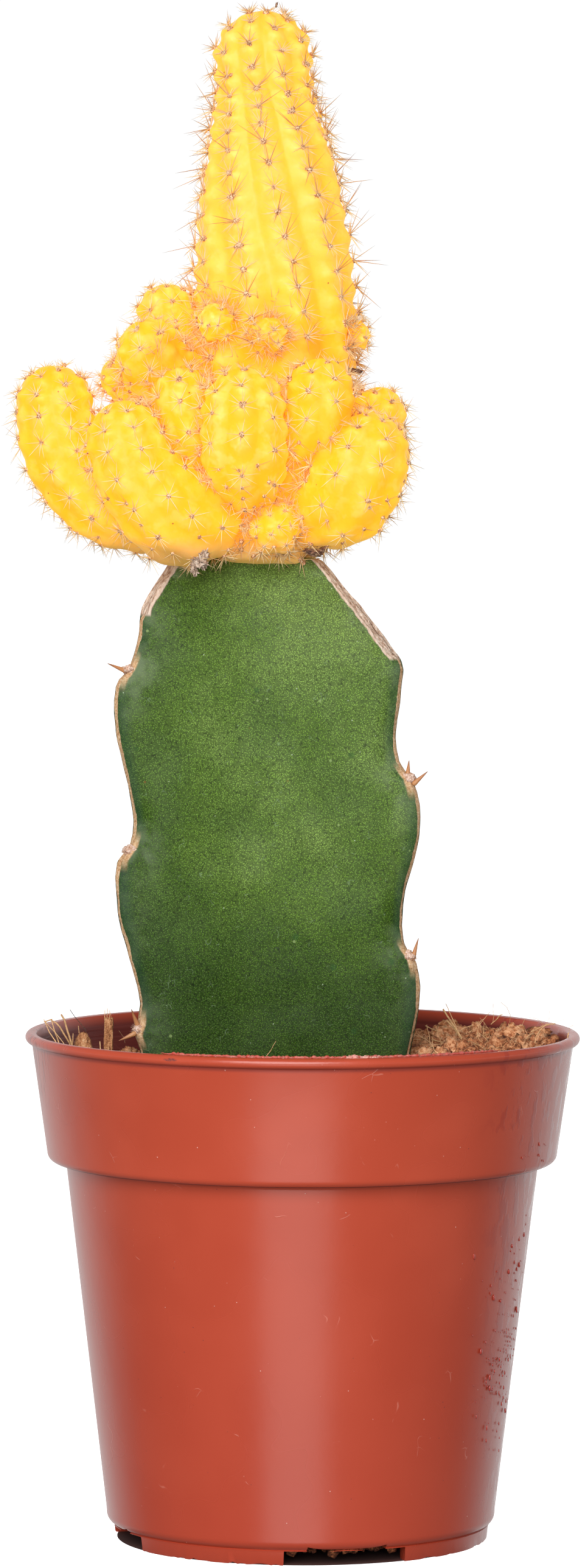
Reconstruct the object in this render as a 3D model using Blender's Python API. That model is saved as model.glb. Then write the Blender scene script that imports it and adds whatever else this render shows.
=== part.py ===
"""A grafted cactus in a nursery pot: a yellow ribbed scion with its offsets, grown on a green
three-ribbed rootstock that stands in coir potting mix.

Frame: metres, +Z up, origin on the pot's axis at the surface it stands on. The rootstock turns one
flat face towards -Y. Every natural piece that comes away by itself is its own object: the pot, the
potting mix, the rootstock, its thorns, the yellow column, each offset and each chip of husk.
"""

import math

import bmesh
import bpy
from mathutils import Matrix, Vector, noise

MM = 0.001
GAP = 0.3 * MM  # air between two pieces that touch

# The pot: an injection moulding with a deep collar, standing on four feet.
RIM_RADIUS = 45.0 * MM
RIM_HEIGHT = 82.4 * MM
WALL = 1.1 * MM
COLLAR_TOP_RADIUS = 43.9 * MM
COLLAR_FOOT_RADIUS = 41.4 * MM
COLLAR_FOOT_HEIGHT = 61.6 * MM
BODY_TOP_RADIUS = 38.3 * MM
BODY_FOOT_RADIUS = 31.6 * MM
FOOT_HEIGHT = 2.4 * MM
FOOT_RING_RADIUS = 30.6 * MM
FOOT_RING_WIDTH = 3.0 * MM
FOOT_COUNT = 4
FIRST_NOTCH = math.radians(-76.0)
NOTCH_WIDTH = 20.0 * MM
DRAIN_LENGTH = 13.0 * MM
DRAIN_DEPTH = 5.0 * MM
CENTRE_DRAIN_RADIUS = 4.0 * MM
POT_SEGMENTS = 52

# The potting mix: nearly full on the right, lower on the left.
MIX_HEIGHT = 76.2 * MM
MIX_RADIUS = 41.1 * MM  # at its surface
MIX_SLOPE = 0.062
MIX_LUMP = 0.9 * MM
MIX_LUMP_SIZE = 9.0 * MM

# The rootstock: a three-ribbed stem that leans a little to the left as it rises.
STOCK_FOOT = 26.0 * MM
STOCK_TOP = 159.4 * MM
STOCK_AXIS_AT_MIX = Vector((-3.5, 0.0, 80.0)) * MM
STOCK_LEAN = -0.050
RIB_REACH = 24.5 * MM  # stem axis to the notch where an areole sits
RIB_CRENATION = 3.6 * MM  # how far the rib swells below each areole
RIB_DIRECTIONS = (-150.0, -30.0, 90.0)
AREOLE_SPACING = 28.8 * MM
TOP_AREOLES = (141.5 * MM, 153.4 * MM, 133.0 * MM)  # the highest areole of each rib
SHOULDERS = (  # where each rib was trimmed off: from this height, down to this reach, this bulging
    (143.0 * MM, 15.1 * MM, 1.8),
    (144.5 * MM, 10.3 * MM, 1.05),
    (146.0 * MM, 12.6 * MM, 1.3),
)
FACE_PLUMP = 2.3 * MM
FACE_HOLLOW = 3.1 * MM
FACE_POINTS = 8
BURIED_RINGS = 3
STOCK_RINGS = 25
BURIED_TOP = 70.0 * MM

# The yellow stems: (x, y, z, radius) along each stem, in millimetres, from root to tip.
COLUMN = (
    (-9.5, 0.0, 159.8, 11.0),
    (-8.6, 0.2, 168.0, 12.4),
    (-6.4, 0.5, 182.0, 12.8),
    (-5.0, 0.5, 198.0, 12.5),
    (-5.5, 0.2, 214.0, 11.3),
    (-6.1, 0.0, 225.0, 9.5),
    (-6.7, 0.0, 233.5, 7.5),
    (-7.0, 0.0, 240.0, 7.4),
    (-7.2, 0.0, 247.4, 6.8),
)
OFFSETS = {
    "offset_front_left": (
        (-12.5, -6.0, 167.0, 5.6), (-17.0, -11.4, 165.8, 7.0), (-21.0, -14.4, 166.8, 7.6),
        (-25.4, -16.0, 171.4, 7.1), (-28.2, -16.4, 177.0, 6.3), (-30.3, -16.6, 184.6, 5.7),
    ),
    "offset_front_centre": (
        (-9.4, -6.0, 173.4, 4.8), (-9.6, -12.4, 173.0, 6.0), (-9.8, -16.4, 176.2, 6.6),
        (-9.8, -17.8, 181.8, 6.4), (-9.8, -17.4, 190.2, 5.8),
    ),
    "offset_right": (
        (-1.5, -4.0, 169.0, 5.0), (3.0, -8.4, 167.6, 6.2), (6.6, -11.6, 169.4, 7.3),
        (8.6, -12.8, 174.0, 7.6), (10.2, -12.6, 178.6, 6.6), (10.9, -12.2, 183.0, 5.4),
    ),
    "offset_far_left": (
        (-17.0, -2.0, 167.0, 4.6), (-25.0, -3.4, 166.2, 5.8), (-32.0, -4.2, 168.0, 6.2),
        (-37.2, -5.0, 173.0, 6.3), (-39.8, -5.4, 179.0, 6.2), (-40.9, -5.6, 190.2, 5.7),
    ),
    "offset_front_right": (
        (-1.5, -6.0, 178.8, 3.8), (0.8, -11.0, 179.4, 4.9), (2.1, -13.4, 183.0, 5.4),
        (2.4, -13.6, 191.6, 5.0),
    ),
    "offset_mid_left": (
        (-12.0, -6.0, 177.6, 4.0), (-16.8, -10.8, 178.6, 4.9), (-19.4, -12.6, 182.8, 4.9),
        (-20.4, -12.6, 190.2, 4.4),
    ),
    "offset_upper_left": (
        (-13.0, -2.0, 186.0, 3.8), (-18.6, -5.6, 187.2, 5.0), (-23.6, -8.0, 189.8, 5.6),
        (-27.2, -9.0, 197.2, 5.2),
    ),
    "offset_right_back": (
        (2.0, 0.2, 173.4, 4.0), (7.4, 0.6, 174.8, 4.6), (11.0, 1.0, 179.4, 4.7),
        (12.2, 1.0, 186.9, 4.4),
    ),
    "offset_upper_left_back": (
        (-13.0, 2.0, 190.6, 3.6), (-18.4, 2.4, 192.4, 4.3), (-21.8, 2.4, 196.2, 4.6),
        (-23.0, 2.4, 203.4, 4.4),
    ),
    "offset_left_small": (
        (-15.0, -0.5, 183.0, 3.0), (-22.5, -1.0, 185.6, 3.5), (-28.4, -1.4, 187.8, 3.7),
        (-33.0, -1.4, 188.8, 3.4),
    ),
    "offset_back_centre": (
        (-8.0, 6.0, 173.0, 4.6), (-8.4, 12.8, 172.2, 5.8), (-8.6, 16.8, 175.6, 6.3),
        (-8.6, 18.2, 181.2, 6.1), (-8.4, 17.8, 189.0, 5.5),
    ),
    "offset_back_left": (
        (-14.0, 5.0, 168.0, 4.8), (-20.0, 10.0, 167.0, 5.8), (-24.6, 13.4, 169.8, 6.0),
        (-27.2, 15.0, 175.4, 5.6), (-28.0, 15.2, 182.0, 5.0),
    ),
    "offset_back_right": (
        (-2.0, 5.0, 168.0, 4.8), (4.0, 10.0, 167.2, 5.8), (7.8, 12.6, 170.4, 6.3),
        (9.4, 13.4, 176.2, 6.0), (9.6, 13.0, 184.4, 5.2),
    ),
    "offset_back_upper_left": (
        (-12.0, 5.0, 181.6, 3.8), (-16.2, 10.0, 183.0, 4.7), (-19.0, 12.4, 187.0, 5.0),
        (-20.4, 12.8, 194.4, 4.6),
    ),
    "offset_back_upper_right": (
        (-1.5, 5.0, 183.4, 3.8), (1.0, 10.6, 184.2, 4.6), (2.4, 13.2, 188.2, 4.8),
        (2.8, 13.6, 195.2, 4.4),
    ),
    "pup_front": ((-5.2, -7.5, 164.2, 3.4), (-4.8, -12.2, 164.4, 4.0), (-4.5, -16.2, 165.0, 3.9)),
    "pup_column_left": ((-11.8, -6.0, 195.6, 2.4), (-14.0, -8.8, 197.2, 3.1), (-15.6, -10.9, 199.4, 2.9)),
    "pup_column_front": ((-6.0, -9.6, 193.8, 2.4), (-6.0, -12.2, 195.2, 2.9), (-6.0, -14.2, 197.6, 2.7)),
    "pup_column_right": ((5.4, -1.6, 194.8, 1.8), (7.6, -2.2, 195.2, 2.2), (10.2, -2.6, 196.2, 2.1)),
    "pup_back": ((-11.4, 7.2, 163.8, 3.4), (-13.2, 11.2, 163.8, 4.0), (-14.6, 15.0, 165.0, 3.8)),
    "pup_column_back": ((-3.4, 9.8, 198.6, 2.4), (-3.0, 12.2, 199.8, 2.9), (-2.8, 14.0, 202.2, 2.7)),
}
COLUMN_RIBS = 10
OFFSET_RIBS = 8
PUP_RIBS = 6
RIB_DEPTH = 0.045
POINTS_PER_RIB = 2
COLUMN_RINGS = 17
OFFSET_RINGS = 9
PUP_RINGS = 5
COLUMN_TWIST = math.radians(-75.0)
GRAFT_ROUNDING = 2.5 * MM

# Thorns of the rootstock: rib, areoles below that rib's top one, height above the areole's middle,
# length, and the thorn's tilts in degrees: up from level, and sideways.
THORNS = {
    "thorn_left_upper": (0, 0, 0.0 * MM, 3.6 * MM, 22.0, 0.0),
    "thorn_left_lower_up": (0, 2, 0.7 * MM, 3.2 * MM, 62.0, 8.0),
    "thorn_left_lower_down": (0, 2, -0.7 * MM, 2.6 * MM, -24.0, -14.0),
    "thorn_right_upper_out": (1, 1, -0.7 * MM, 2.8 * MM, 42.0, 6.0),
    "thorn_right_upper_in": (1, 1, 0.7 * MM, 2.2 * MM, 84.0, 20.0),
    "thorn_right_lower": (1, 2, 0.0 * MM, 3.2 * MM, 76.0, 0.0),
    "thorn_back_upper": (2, 0, 0.0 * MM, 3.0 * MM, 40.0, 6.0),
    "thorn_back_lower": (2, 1, 0.0 * MM, 2.8 * MM, 52.0, -8.0),
}
THORN_RADIUS = 0.45 * MM
THORN_TIP = 0.05 * MM
THORN_SEGMENTS = 8

# Chips of coconut husk on the mix: centre, half sizes and turn about Z.
CHIPS = {
    "husk_chip_left": ((-35.4, 3.0, 77.6), (1.7, 1.5, 3.2), 15.0),
    "husk_chip_right": ((29.0, 16.0, 79.2), (3.6, 2.4, 2.4), 25.0),
    "husk_chip_right_back": ((17.0, 26.0, 78.4), (3.0, 2.2, 2.2), -30.0),
    "husk_chip_back": ((-14.0, 32.0, 75.6), (3.2, 2.2, 2.0), 60.0),
}
HUSK_STICK_CENTRE = (-31.6, 2.0, 77.6)
HUSK_STICK_RADIUS = 0.8 * MM
HUSK_STICK_HEIGHT = 11.6 * MM

# The dried remnant of a flower that hangs under the front left offset.
DRIED_FLOWER = ((-16.9, -18.4, 158.9), (1.2, 1.2, 2.6), 30.0)


def clear_scene():
    for obj in list(bpy.data.objects):
        bpy.data.objects.remove(obj)


def make_material(name, colour, roughness, metallic=0.0):
    material = bpy.data.materials.new(name)
    material.use_nodes = True
    shader = material.node_tree.nodes["Principled BSDF"]
    shader.inputs["Base Color"].default_value = (*colour, 1.0)
    shader.inputs["Roughness"].default_value = roughness
    shader.inputs["Metallic"].default_value = metallic
    return material


def make_object(name, bm, material, smooth_below=math.radians(40.0)):
    """Turns the bmesh into a named object with its own material, shaded smooth where it is round.

    It is triangulated first, because a Boolean reads a bent quad as flat.
    """
    bmesh.ops.recalc_face_normals(bm, faces=bm.faces)
    bmesh.ops.triangulate(bm, faces=bm.faces)
    mesh = bpy.data.meshes.new(name)
    bm.to_mesh(mesh)
    bm.free()
    mesh.shade_smooth()
    mesh.set_sharp_from_angle(angle=smooth_below)
    mesh.materials.append(material)
    obj = bpy.data.objects.new(name, mesh)
    bpy.context.scene.collection.objects.link(obj)
    return obj


def as_cutter(obj):
    obj.hide_render = True
    obj.display_type = "WIRE"
    return obj


def make_with_cutter(name, bm, material):
    """The object, and the hidden shape that its neighbours are cut by: the same one, a gap larger all round."""
    bmesh.ops.recalc_face_normals(bm, faces=bm.faces)
    larger = bm.copy()
    obj = make_object(name, bm, material)
    larger.normal_update()
    moves = [vert.normal * (GAP * vert.calc_shell_factor()) for vert in larger.verts]
    for vert, move in zip(larger.verts, moves):
        vert.co += move
    return obj, as_cutter(make_object(name + "_cutter", larger, material))


def cut(obj, cutter):
    """Takes the cutter's shape out of the object with a live Boolean."""
    modifier = obj.modifiers.new("cut by " + cutter.name, "BOOLEAN")
    modifier.operation = "DIFFERENCE"
    modifier.solver = "EXACT"
    modifier.object = cutter


def lathe(profile, segments):
    """A closed bmesh turned about Z from (radius, height) points that start and end on the axis."""
    bm = bmesh.new()
    verts = [bm.verts.new((radius, 0.0, height)) for radius, height in profile]
    edges = [bm.edges.new(pair) for pair in zip(verts, verts[1:])]
    bmesh.ops.spin(
        bm, geom=verts + edges, cent=(0, 0, 0), axis=(0, 0, 1), angle=math.tau, steps=segments, use_merge=True
    )
    bmesh.ops.remove_doubles(bm, verts=bm.verts, dist=0.01 * MM)
    return bm


def arc(centre, radius, start, end, count):
    """Points of a round stretch of a profile, with its angles in degrees."""
    turns = [math.radians(start + (end - start) * i / (count - 1)) for i in range(count)]
    return [(centre[0] + radius * math.cos(a), centre[1] + radius * math.sin(a)) for a in turns]


# ---------------------------------------------------------------- the pot


def pot_inner_profile(clearance=0.0):
    """(radius, height) of the inside of the wall, from the floor's corner up to the rim."""
    floor = FOOT_HEIGHT + WALL + clearance
    step = COLLAR_FOOT_HEIGHT - 1.0 * MM
    return [
        (BODY_FOOT_RADIUS - WALL - 1.2 * MM - clearance, floor),
        (BODY_FOOT_RADIUS - WALL - clearance, floor + 1.4 * MM),
        (BODY_TOP_RADIUS - WALL - clearance, step),
        (COLLAR_FOOT_RADIUS - WALL - clearance, step + 2.2 * MM),
        (COLLAR_TOP_RADIUS - WALL - clearance, RIM_HEIGHT - 1.6 * MM),
    ]


def pot_outer_profile():
    """(radius, height) of the outside, from the rim down to the inner edge of the foot ring."""
    bead = 0.9 * MM
    ring_inside = FOOT_RING_RADIUS - FOOT_RING_WIDTH
    return [
        (RIM_RADIUS - 1.7 * MM, RIM_HEIGHT - 0.25 * MM),
        (RIM_RADIUS - 1.3 * MM, RIM_HEIGHT),
        *arc((RIM_RADIUS - bead, RIM_HEIGHT - bead), bead, 90.0, -50.0, 5),
        (COLLAR_TOP_RADIUS, RIM_HEIGHT - 2.1 * MM),
        (COLLAR_FOOT_RADIUS, COLLAR_FOOT_HEIGHT + 1.6 * MM),
        (COLLAR_FOOT_RADIUS - 0.5 * MM, COLLAR_FOOT_HEIGHT + 0.4 * MM),
        (COLLAR_FOOT_RADIUS - 1.6 * MM, COLLAR_FOOT_HEIGHT - 0.1 * MM),
        (BODY_TOP_RADIUS, COLLAR_FOOT_HEIGHT - 0.7 * MM),
        (BODY_FOOT_RADIUS, FOOT_HEIGHT + 1.7 * MM),
        (BODY_FOOT_RADIUS - 0.5 * MM, FOOT_HEIGHT + 0.5 * MM),
        (FOOT_RING_RADIUS, FOOT_HEIGHT),
        (FOOT_RING_RADIUS - 0.2 * MM, 0.0),
        (ring_inside, 0.0),
        (ring_inside, FOOT_HEIGHT),
    ]


def box_cutter(name, centre, size, turn):
    bm = bmesh.new()
    bmesh.ops.create_cube(bm, size=1.0)
    bmesh.ops.scale(bm, vec=size, verts=bm.verts)
    placing = Matrix.Rotation(turn, 4, "Z") @ Matrix.Translation(centre)
    bmesh.ops.transform(bm, matrix=placing, verts=bm.verts)
    return as_cutter(make_object(name, bm, bpy.data.materials["moulded_plastic"]))


def build_pot():
    plastic = make_material("moulded_plastic", (0.56, 0.10, 0.055), 0.38)
    inside = pot_inner_profile()
    profile = [(0.0, inside[0][1]), *inside, *pot_outer_profile(), (0.0, FOOT_HEIGHT)]
    pot = make_object("pot", lathe(profile, POT_SEGMENTS), plastic)
    ring_middle = FOOT_RING_RADIUS - FOOT_RING_WIDTH / 2
    for i in range(FOOT_COUNT):
        turn = FIRST_NOTCH + i * math.tau / FOOT_COUNT
        notch = box_cutter(
            f"notch_cutter_{i}",
            (ring_middle, 0, FOOT_HEIGHT / 2 - 1.02 * MM),
            (2.6 * FOOT_RING_WIDTH, NOTCH_WIDTH, FOOT_HEIGHT + 2 * MM),
            turn,
        )
        drain = box_cutter(
            f"drain_cutter_{i}",
            (ring_middle - 1.0 * MM, 0, FOOT_HEIGHT + WALL / 2),
            (DRAIN_DEPTH, DRAIN_LENGTH, 4 * WALL),
            turn,
        )
        cut(pot, notch)
        cut(pot, drain)
    bm = bmesh.new()
    bmesh.ops.create_cone(
        bm, cap_ends=True, segments=20, radius1=CENTRE_DRAIN_RADIUS, radius2=CENTRE_DRAIN_RADIUS, depth=4 * WALL
    )
    bmesh.ops.translate(bm, vec=(0, 0, FOOT_HEIGHT + WALL / 2), verts=bm.verts)
    cut(pot, as_cutter(make_object("centre_drain_cutter", bm, plastic)))
    return pot


# ---------------------------------------------------------------- stems


class Spine:
    """A smooth curve through a stem's own points, with a radius and an untwisted frame all along."""

    STEPS = 96
    EASING = 18  # steps to each side over which a bend is spread, so that rings across it don't cross

    def __init__(self, points):
        places = [Vector(point[:3]) * MM for point in points]
        radii = [point[3] * MM for point in points]
        self.places, self.radii = [], []
        for i in range(self.STEPS + 1):
            share = i / self.STEPS * (len(points) - 1)
            k = min(int(share), len(points) - 2)
            self.places.append(self.curve(places, k, share - k))
            self.radii.append(self.curve(radii, k, share - k))
        self.reach = [0.0]
        for a, b in zip(self.places, self.places[1:]):
            self.reach.append(self.reach[-1] + (b - a).length)
        self.length = self.reach[-1]
        self.frames = self.carry_frames()

    @staticmethod
    def curve(values, k, t):
        """Catmull-Rom through the values, from number k to number k + 1."""
        before = values[k - 1] if k > 0 else 2 * values[0] - values[1]
        after = values[k + 2] if k + 2 < len(values) else 2 * values[-1] - values[-2]
        a, b = values[k], values[k + 1]
        return (
            a
            + (b - before) * (t / 2)
            + (2 * before - 5 * a + 4 * b - after) * (t * t / 2)
            + (3 * a - before - 3 * b + after) * (t * t * t / 2)
        )

    def carry_frames(self):
        """(along, side, front) at each step, carried along the curve so that ribs don't swirl."""
        frames = []
        side = Vector((1, 0, 0))
        for i in range(len(self.places)):
            a = self.places[max(i - self.EASING, 0)]
            b = self.places[min(i + self.EASING, len(self.places) - 1)]
            along = (b - a).normalized()
            side = side - along * side.dot(along)
            if side.length < 0.2:
                side = along.orthogonal()
            side = side.normalized()
            frames.append((along, side, along.cross(side)))
        return frames

    def at(self, distance):
        """(place, radius, frame) at a distance from the root."""
        distance = min(max(distance, 0.0), self.length)
        i = 0
        while i < len(self.reach) - 2 and self.reach[i + 1] < distance:
            i += 1
        share = (distance - self.reach[i]) / max(self.reach[i + 1] - self.reach[i], 1e-9)
        place = self.places[i].lerp(self.places[i + 1], share)
        radius = self.radii[i] + (self.radii[i + 1] - self.radii[i]) * share
        return place, radius, self.frames[i if share < 0.5 else i + 1]


def rounded(distance, length, root_rounding, tip_rounding):
    """Share of the full radius at a distance along a stem whose two ends are domed."""
    from_root = min(distance / root_rounding, 1.0)
    from_tip = min((length - distance) / tip_rounding, 1.0)
    return math.sqrt(max(1 - (1 - from_root) ** 2, 0.0)) * math.sqrt(max(1 - (1 - from_tip) ** 2, 0.0))


def stem(spine, ribs, rings, twist=0.0, root_rounding=None):
    """A sphere drawn out along the spine: rings across it, rib crests and furrows along it."""
    bm = bmesh.new()
    bmesh.ops.create_uvsphere(bm, u_segments=ribs * POINTS_PER_RIB, v_segments=rings, radius=1.0)
    tip_rounding = spine.radii[-1]
    root_rounding = root_rounding or spine.radii[0]
    for vert in bm.verts:
        latitude = math.acos(max(-1.0, min(1.0, -vert.co.z)))
        share = latitude / math.pi - 0.35 * math.sin(2 * latitude) / math.tau
        turn = math.atan2(vert.co.y, vert.co.x)
        distance = share * spine.length
        place, radius, (_, side, front) = spine.at(distance)
        full = radius * rounded(distance, spine.length, root_rounding, tip_rounding)
        full *= 1 + RIB_DEPTH * math.cos(ribs * turn)
        angle = turn + twist * share
        vert.co = place + side * (full * math.cos(angle)) + front * (full * math.sin(angle))
    return bm


def nearly_touch(first, second):
    """True where two stems come close enough for one to be cut by the other."""
    for a, reach_a in zip(first.places[::3], first.radii[::3]):
        for b, reach_b in zip(second.places[::3], second.radii[::3]):
            if (a - b).length < reach_a + reach_b + 5 * GAP:
                return True
    return False


def stem_settings(name):
    """(ribs, rings) of a yellow stem, by its kind."""
    if name.startswith("pup"):
        return PUP_RIBS, PUP_RINGS
    return OFFSET_RIBS, OFFSET_RINGS


def build_scion(stock_cutter):
    """The yellow column and its offsets. Each is shaped round the ones that are built before it."""
    skin = make_material("yellow_skin", (0.95, 0.60, 0.03), 0.42)
    spine = Spine(COLUMN)
    bm = stem(spine, COLUMN_RIBS, COLUMN_RINGS, COLUMN_TWIST, GRAFT_ROUNDING)
    built = [(spine, make_with_cutter("yellow_column", bm, skin)[1])]
    for name, points in OFFSETS.items():
        spine = Spine(points)
        offset, cutter = make_with_cutter(name, stem(spine, *stem_settings(name)), skin)
        for other, other_cutter in built:
            if nearly_touch(spine, other):
                cut(offset, other_cutter)
        lowest = min(place.z - radius for place, radius in zip(spine.places, spine.radii))
        if lowest < STOCK_TOP + GAP:
            cut(offset, stock_cutter)
        built.append((spine, cutter))


# ---------------------------------------------------------------- the rootstock


def stock_axis(height):
    axis = STOCK_AXIS_AT_MIX.copy()
    axis.x += (height - axis.z) * STOCK_LEAN
    axis.z = height
    return axis


def rib_tip_reach(rib, height):
    """How far a rib stands out from the axis: it swells below each areole and draws in above it."""
    below = (TOP_AREOLES[rib] - height) / AREOLE_SPACING
    phase = below - math.floor(below)
    reach = RIB_REACH + RIB_CRENATION * math.sin(math.pi * phase**0.45)
    shoulder, end, bulge = SHOULDERS[rib]
    if height > shoulder:
        share = ((height - shoulder) / (STOCK_TOP - shoulder)) ** bulge
        reach = min(reach, RIB_REACH * (1 - share) + end * share)
    return reach


def stock_section(height):
    """The points of the three-ribbed section at a height, anticlockwise."""
    axis = stock_axis(height)
    tips = []
    for rib, direction in enumerate(RIB_DIRECTIONS):
        turn = math.radians(direction)
        tips.append(axis + Vector((math.cos(turn), math.sin(turn), 0)) * rib_tip_reach(rib, height))
    points = []
    for i, tip in enumerate(tips):
        following = tips[(i + 1) % 3]
        outward = (following - tip).normalized().cross(Vector((0, 0, 1)))
        shrink = min(1.0, (following - tip).length / (RIB_REACH * 1.6))
        for k in range(FACE_POINTS):
            share = k / FACE_POINTS - 0.07 * math.sin(math.tau * k / FACE_POINTS)
            rise = math.sin(math.pi * share)
            bow = FACE_PLUMP * rise**0.4 - FACE_HOLLOW * rise**2
            points.append(tip.lerp(following, share) + outward * (bow * shrink))
    return points


def build_stock(material):
    """The rootstock: its section at each height, fitted to the ribs there and joined to the one below."""
    buried = [STOCK_FOOT + (BURIED_TOP - STOCK_FOOT) * i / BURIED_RINGS for i in range(1, BURIED_RINGS)]
    visible = [BURIED_TOP + (STOCK_TOP - BURIED_TOP) * i / STOCK_RINGS for i in range(STOCK_RINGS + 1)]
    bm = bmesh.new()
    ring = [bm.verts.new(point) for point in stock_section(STOCK_FOOT)]
    bm.faces.new(ring)
    for height in buried + visible:
        upper = [bm.verts.new(point) for point in stock_section(height)]
        for k, vert in enumerate(ring):
            bm.faces.new((vert, ring[(k + 1) % len(ring)], upper[(k + 1) % len(ring)], upper[k]))
        ring = upper
    bm.faces.new(ring)
    return make_with_cutter("rootstock", bm, material)


def build_thorns():
    horn = make_material("horn", (0.42, 0.22, 0.10), 0.45)
    for name, (rib, step, shift, length, rise, swing) in THORNS.items():
        height = TOP_AREOLES[rib] - step * AREOLE_SPACING + shift
        level = Matrix.Rotation(math.radians(RIB_DIRECTIONS[rib] + swing), 4, "Z")
        tilt = Matrix.Rotation(math.radians(90.0 - rise), 4, "Y")
        reach = max(rib_tip_reach(rib, height + near * MM) for near in (-1.5, 0.0, 1.5))
        clearance = GAP + THORN_RADIUS * abs(math.sin(math.radians(rise)))
        bm = bmesh.new()
        bmesh.ops.create_cone(
            bm, cap_ends=True, segments=THORN_SEGMENTS, radius1=THORN_RADIUS, radius2=THORN_TIP, depth=length
        )
        bmesh.ops.translate(bm, vec=(0, 0, length / 2), verts=bm.verts)
        thorn = make_object(name, bm, horn)
        outward = Matrix.Rotation(math.radians(RIB_DIRECTIONS[rib]), 3, "Z") @ Vector((1, 0, 0))
        thorn.location = stock_axis(height) + outward * (reach + clearance)
        thorn.rotation_euler = (level @ tilt).to_euler()


# ---------------------------------------------------------------- the potting mix


def mix_level(x, y):
    """Height of the mix's surface: it slopes, and it has lumps."""
    lump = noise.noise(Vector((x, y, 0)) / MIX_LUMP_SIZE)
    return MIX_HEIGHT + MIX_SLOPE * x + MIX_LUMP * lump


def build_mix(cutters):
    coir = make_material("coir", (0.20, 0.10, 0.045), 0.95)
    wall = [point for point in pot_inner_profile(GAP) if point[1] < MIX_HEIGHT]
    top = [(MIX_RADIUS * share, MIX_HEIGHT) for share in (1.0, 0.84, 0.67, 0.48, 0.26)]
    bm = lathe([(0.0, wall[0][1]), *wall, *top, (0.0, MIX_HEIGHT)], POT_SEGMENTS)
    for vert in bm.verts:
        if abs(vert.co.z - MIX_HEIGHT) < 0.01 * MM:
            vert.co.z = mix_level(vert.co.x, vert.co.y)
    mix = make_object("potting_mix", bm, coir)
    for cutter in cutters:
        cut(mix, cutter)


def rough_lump(half_sizes, seed):
    """An uneven chip: a faceted ball, stretched and roughened."""
    bm = bmesh.new()
    bmesh.ops.create_icosphere(bm, subdivisions=2, radius=1.0)
    for vert in bm.verts:
        vert.co *= 1 + 0.22 * noise.noise(vert.co * 1.6 + Vector((seed, 0, 0)))
    bmesh.ops.scale(bm, vec=Vector(half_sizes) * MM, verts=bm.verts)
    return bm


def place(objects, centre, turn=0.0):
    for obj in objects:
        obj.location = Vector(centre) * MM
        obj.rotation_euler = (0, 0, math.radians(turn))


def husk_stick():
    """A straight bundle of husk fibre that stands in the mix."""
    bm = bmesh.new()
    bmesh.ops.create_cone(
        bm,
        cap_ends=True,
        segments=10,
        radius1=HUSK_STICK_RADIUS * 1.1,
        radius2=HUSK_STICK_RADIUS,
        depth=HUSK_STICK_HEIGHT,
    )
    return bm


def build_husk():
    """The chips and the stick. It returns the shapes that they press into the mix."""
    husk = make_material("coconut_husk", (0.30, 0.16, 0.08), 0.95)
    stick = make_with_cutter("husk_stick", husk_stick(), husk)
    place(stick, HUSK_STICK_CENTRE)
    hollows = [stick[1]]
    for seed, (name, (centre, half_sizes, turn)) in enumerate(CHIPS.items()):
        chip = make_with_cutter(name, rough_lump(half_sizes, seed), husk)
        place(chip, centre, turn)
        hollows.append(chip[1])
    return hollows


def build_dried_flower():
    petals = make_material("dried_petals", (0.33, 0.27, 0.22), 0.95)
    centre, half_sizes, turn = DRIED_FLOWER
    flower = make_object("dried_flower", rough_lump(half_sizes, len(CHIPS)), petals)
    place([flower], centre, turn)
    cut(flower, bpy.data.objects["offset_front_left_cutter"])


def build():
    clear_scene()
    build_pot()
    stock_cutter = build_stock(make_material("green_skin", (0.035, 0.11, 0.022), 0.5))[1]
    build_thorns()
    build_scion(stock_cutter)
    build_dried_flower()
    build_mix([stock_cutter, *build_husk()])


build()
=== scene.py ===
import math
import random

import bmesh
import bpy
import numpy as np
from mathutils import Matrix, Vector, noise


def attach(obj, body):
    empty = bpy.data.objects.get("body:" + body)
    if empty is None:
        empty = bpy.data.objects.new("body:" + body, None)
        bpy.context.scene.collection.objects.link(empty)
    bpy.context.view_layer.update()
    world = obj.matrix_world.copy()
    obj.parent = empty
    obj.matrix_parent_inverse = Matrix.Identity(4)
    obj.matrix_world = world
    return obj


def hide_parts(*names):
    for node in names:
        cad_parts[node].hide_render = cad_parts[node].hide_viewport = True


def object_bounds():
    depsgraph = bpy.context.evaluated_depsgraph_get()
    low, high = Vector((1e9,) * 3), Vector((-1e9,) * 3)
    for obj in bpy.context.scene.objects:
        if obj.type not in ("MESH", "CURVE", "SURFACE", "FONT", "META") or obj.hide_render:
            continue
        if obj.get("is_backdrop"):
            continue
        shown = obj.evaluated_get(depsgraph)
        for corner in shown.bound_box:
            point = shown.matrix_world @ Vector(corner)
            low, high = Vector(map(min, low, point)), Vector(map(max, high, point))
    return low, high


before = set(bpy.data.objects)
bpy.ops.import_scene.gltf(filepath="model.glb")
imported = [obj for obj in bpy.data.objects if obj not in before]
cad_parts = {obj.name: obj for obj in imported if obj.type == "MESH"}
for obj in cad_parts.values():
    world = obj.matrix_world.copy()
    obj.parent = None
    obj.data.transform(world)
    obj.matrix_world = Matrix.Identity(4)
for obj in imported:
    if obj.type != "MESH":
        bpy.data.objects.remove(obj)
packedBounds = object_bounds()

noise.seed_set(11)        # keeps the sway of the stems the same in every run
mm = 0.001
tau = math.tau


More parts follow.
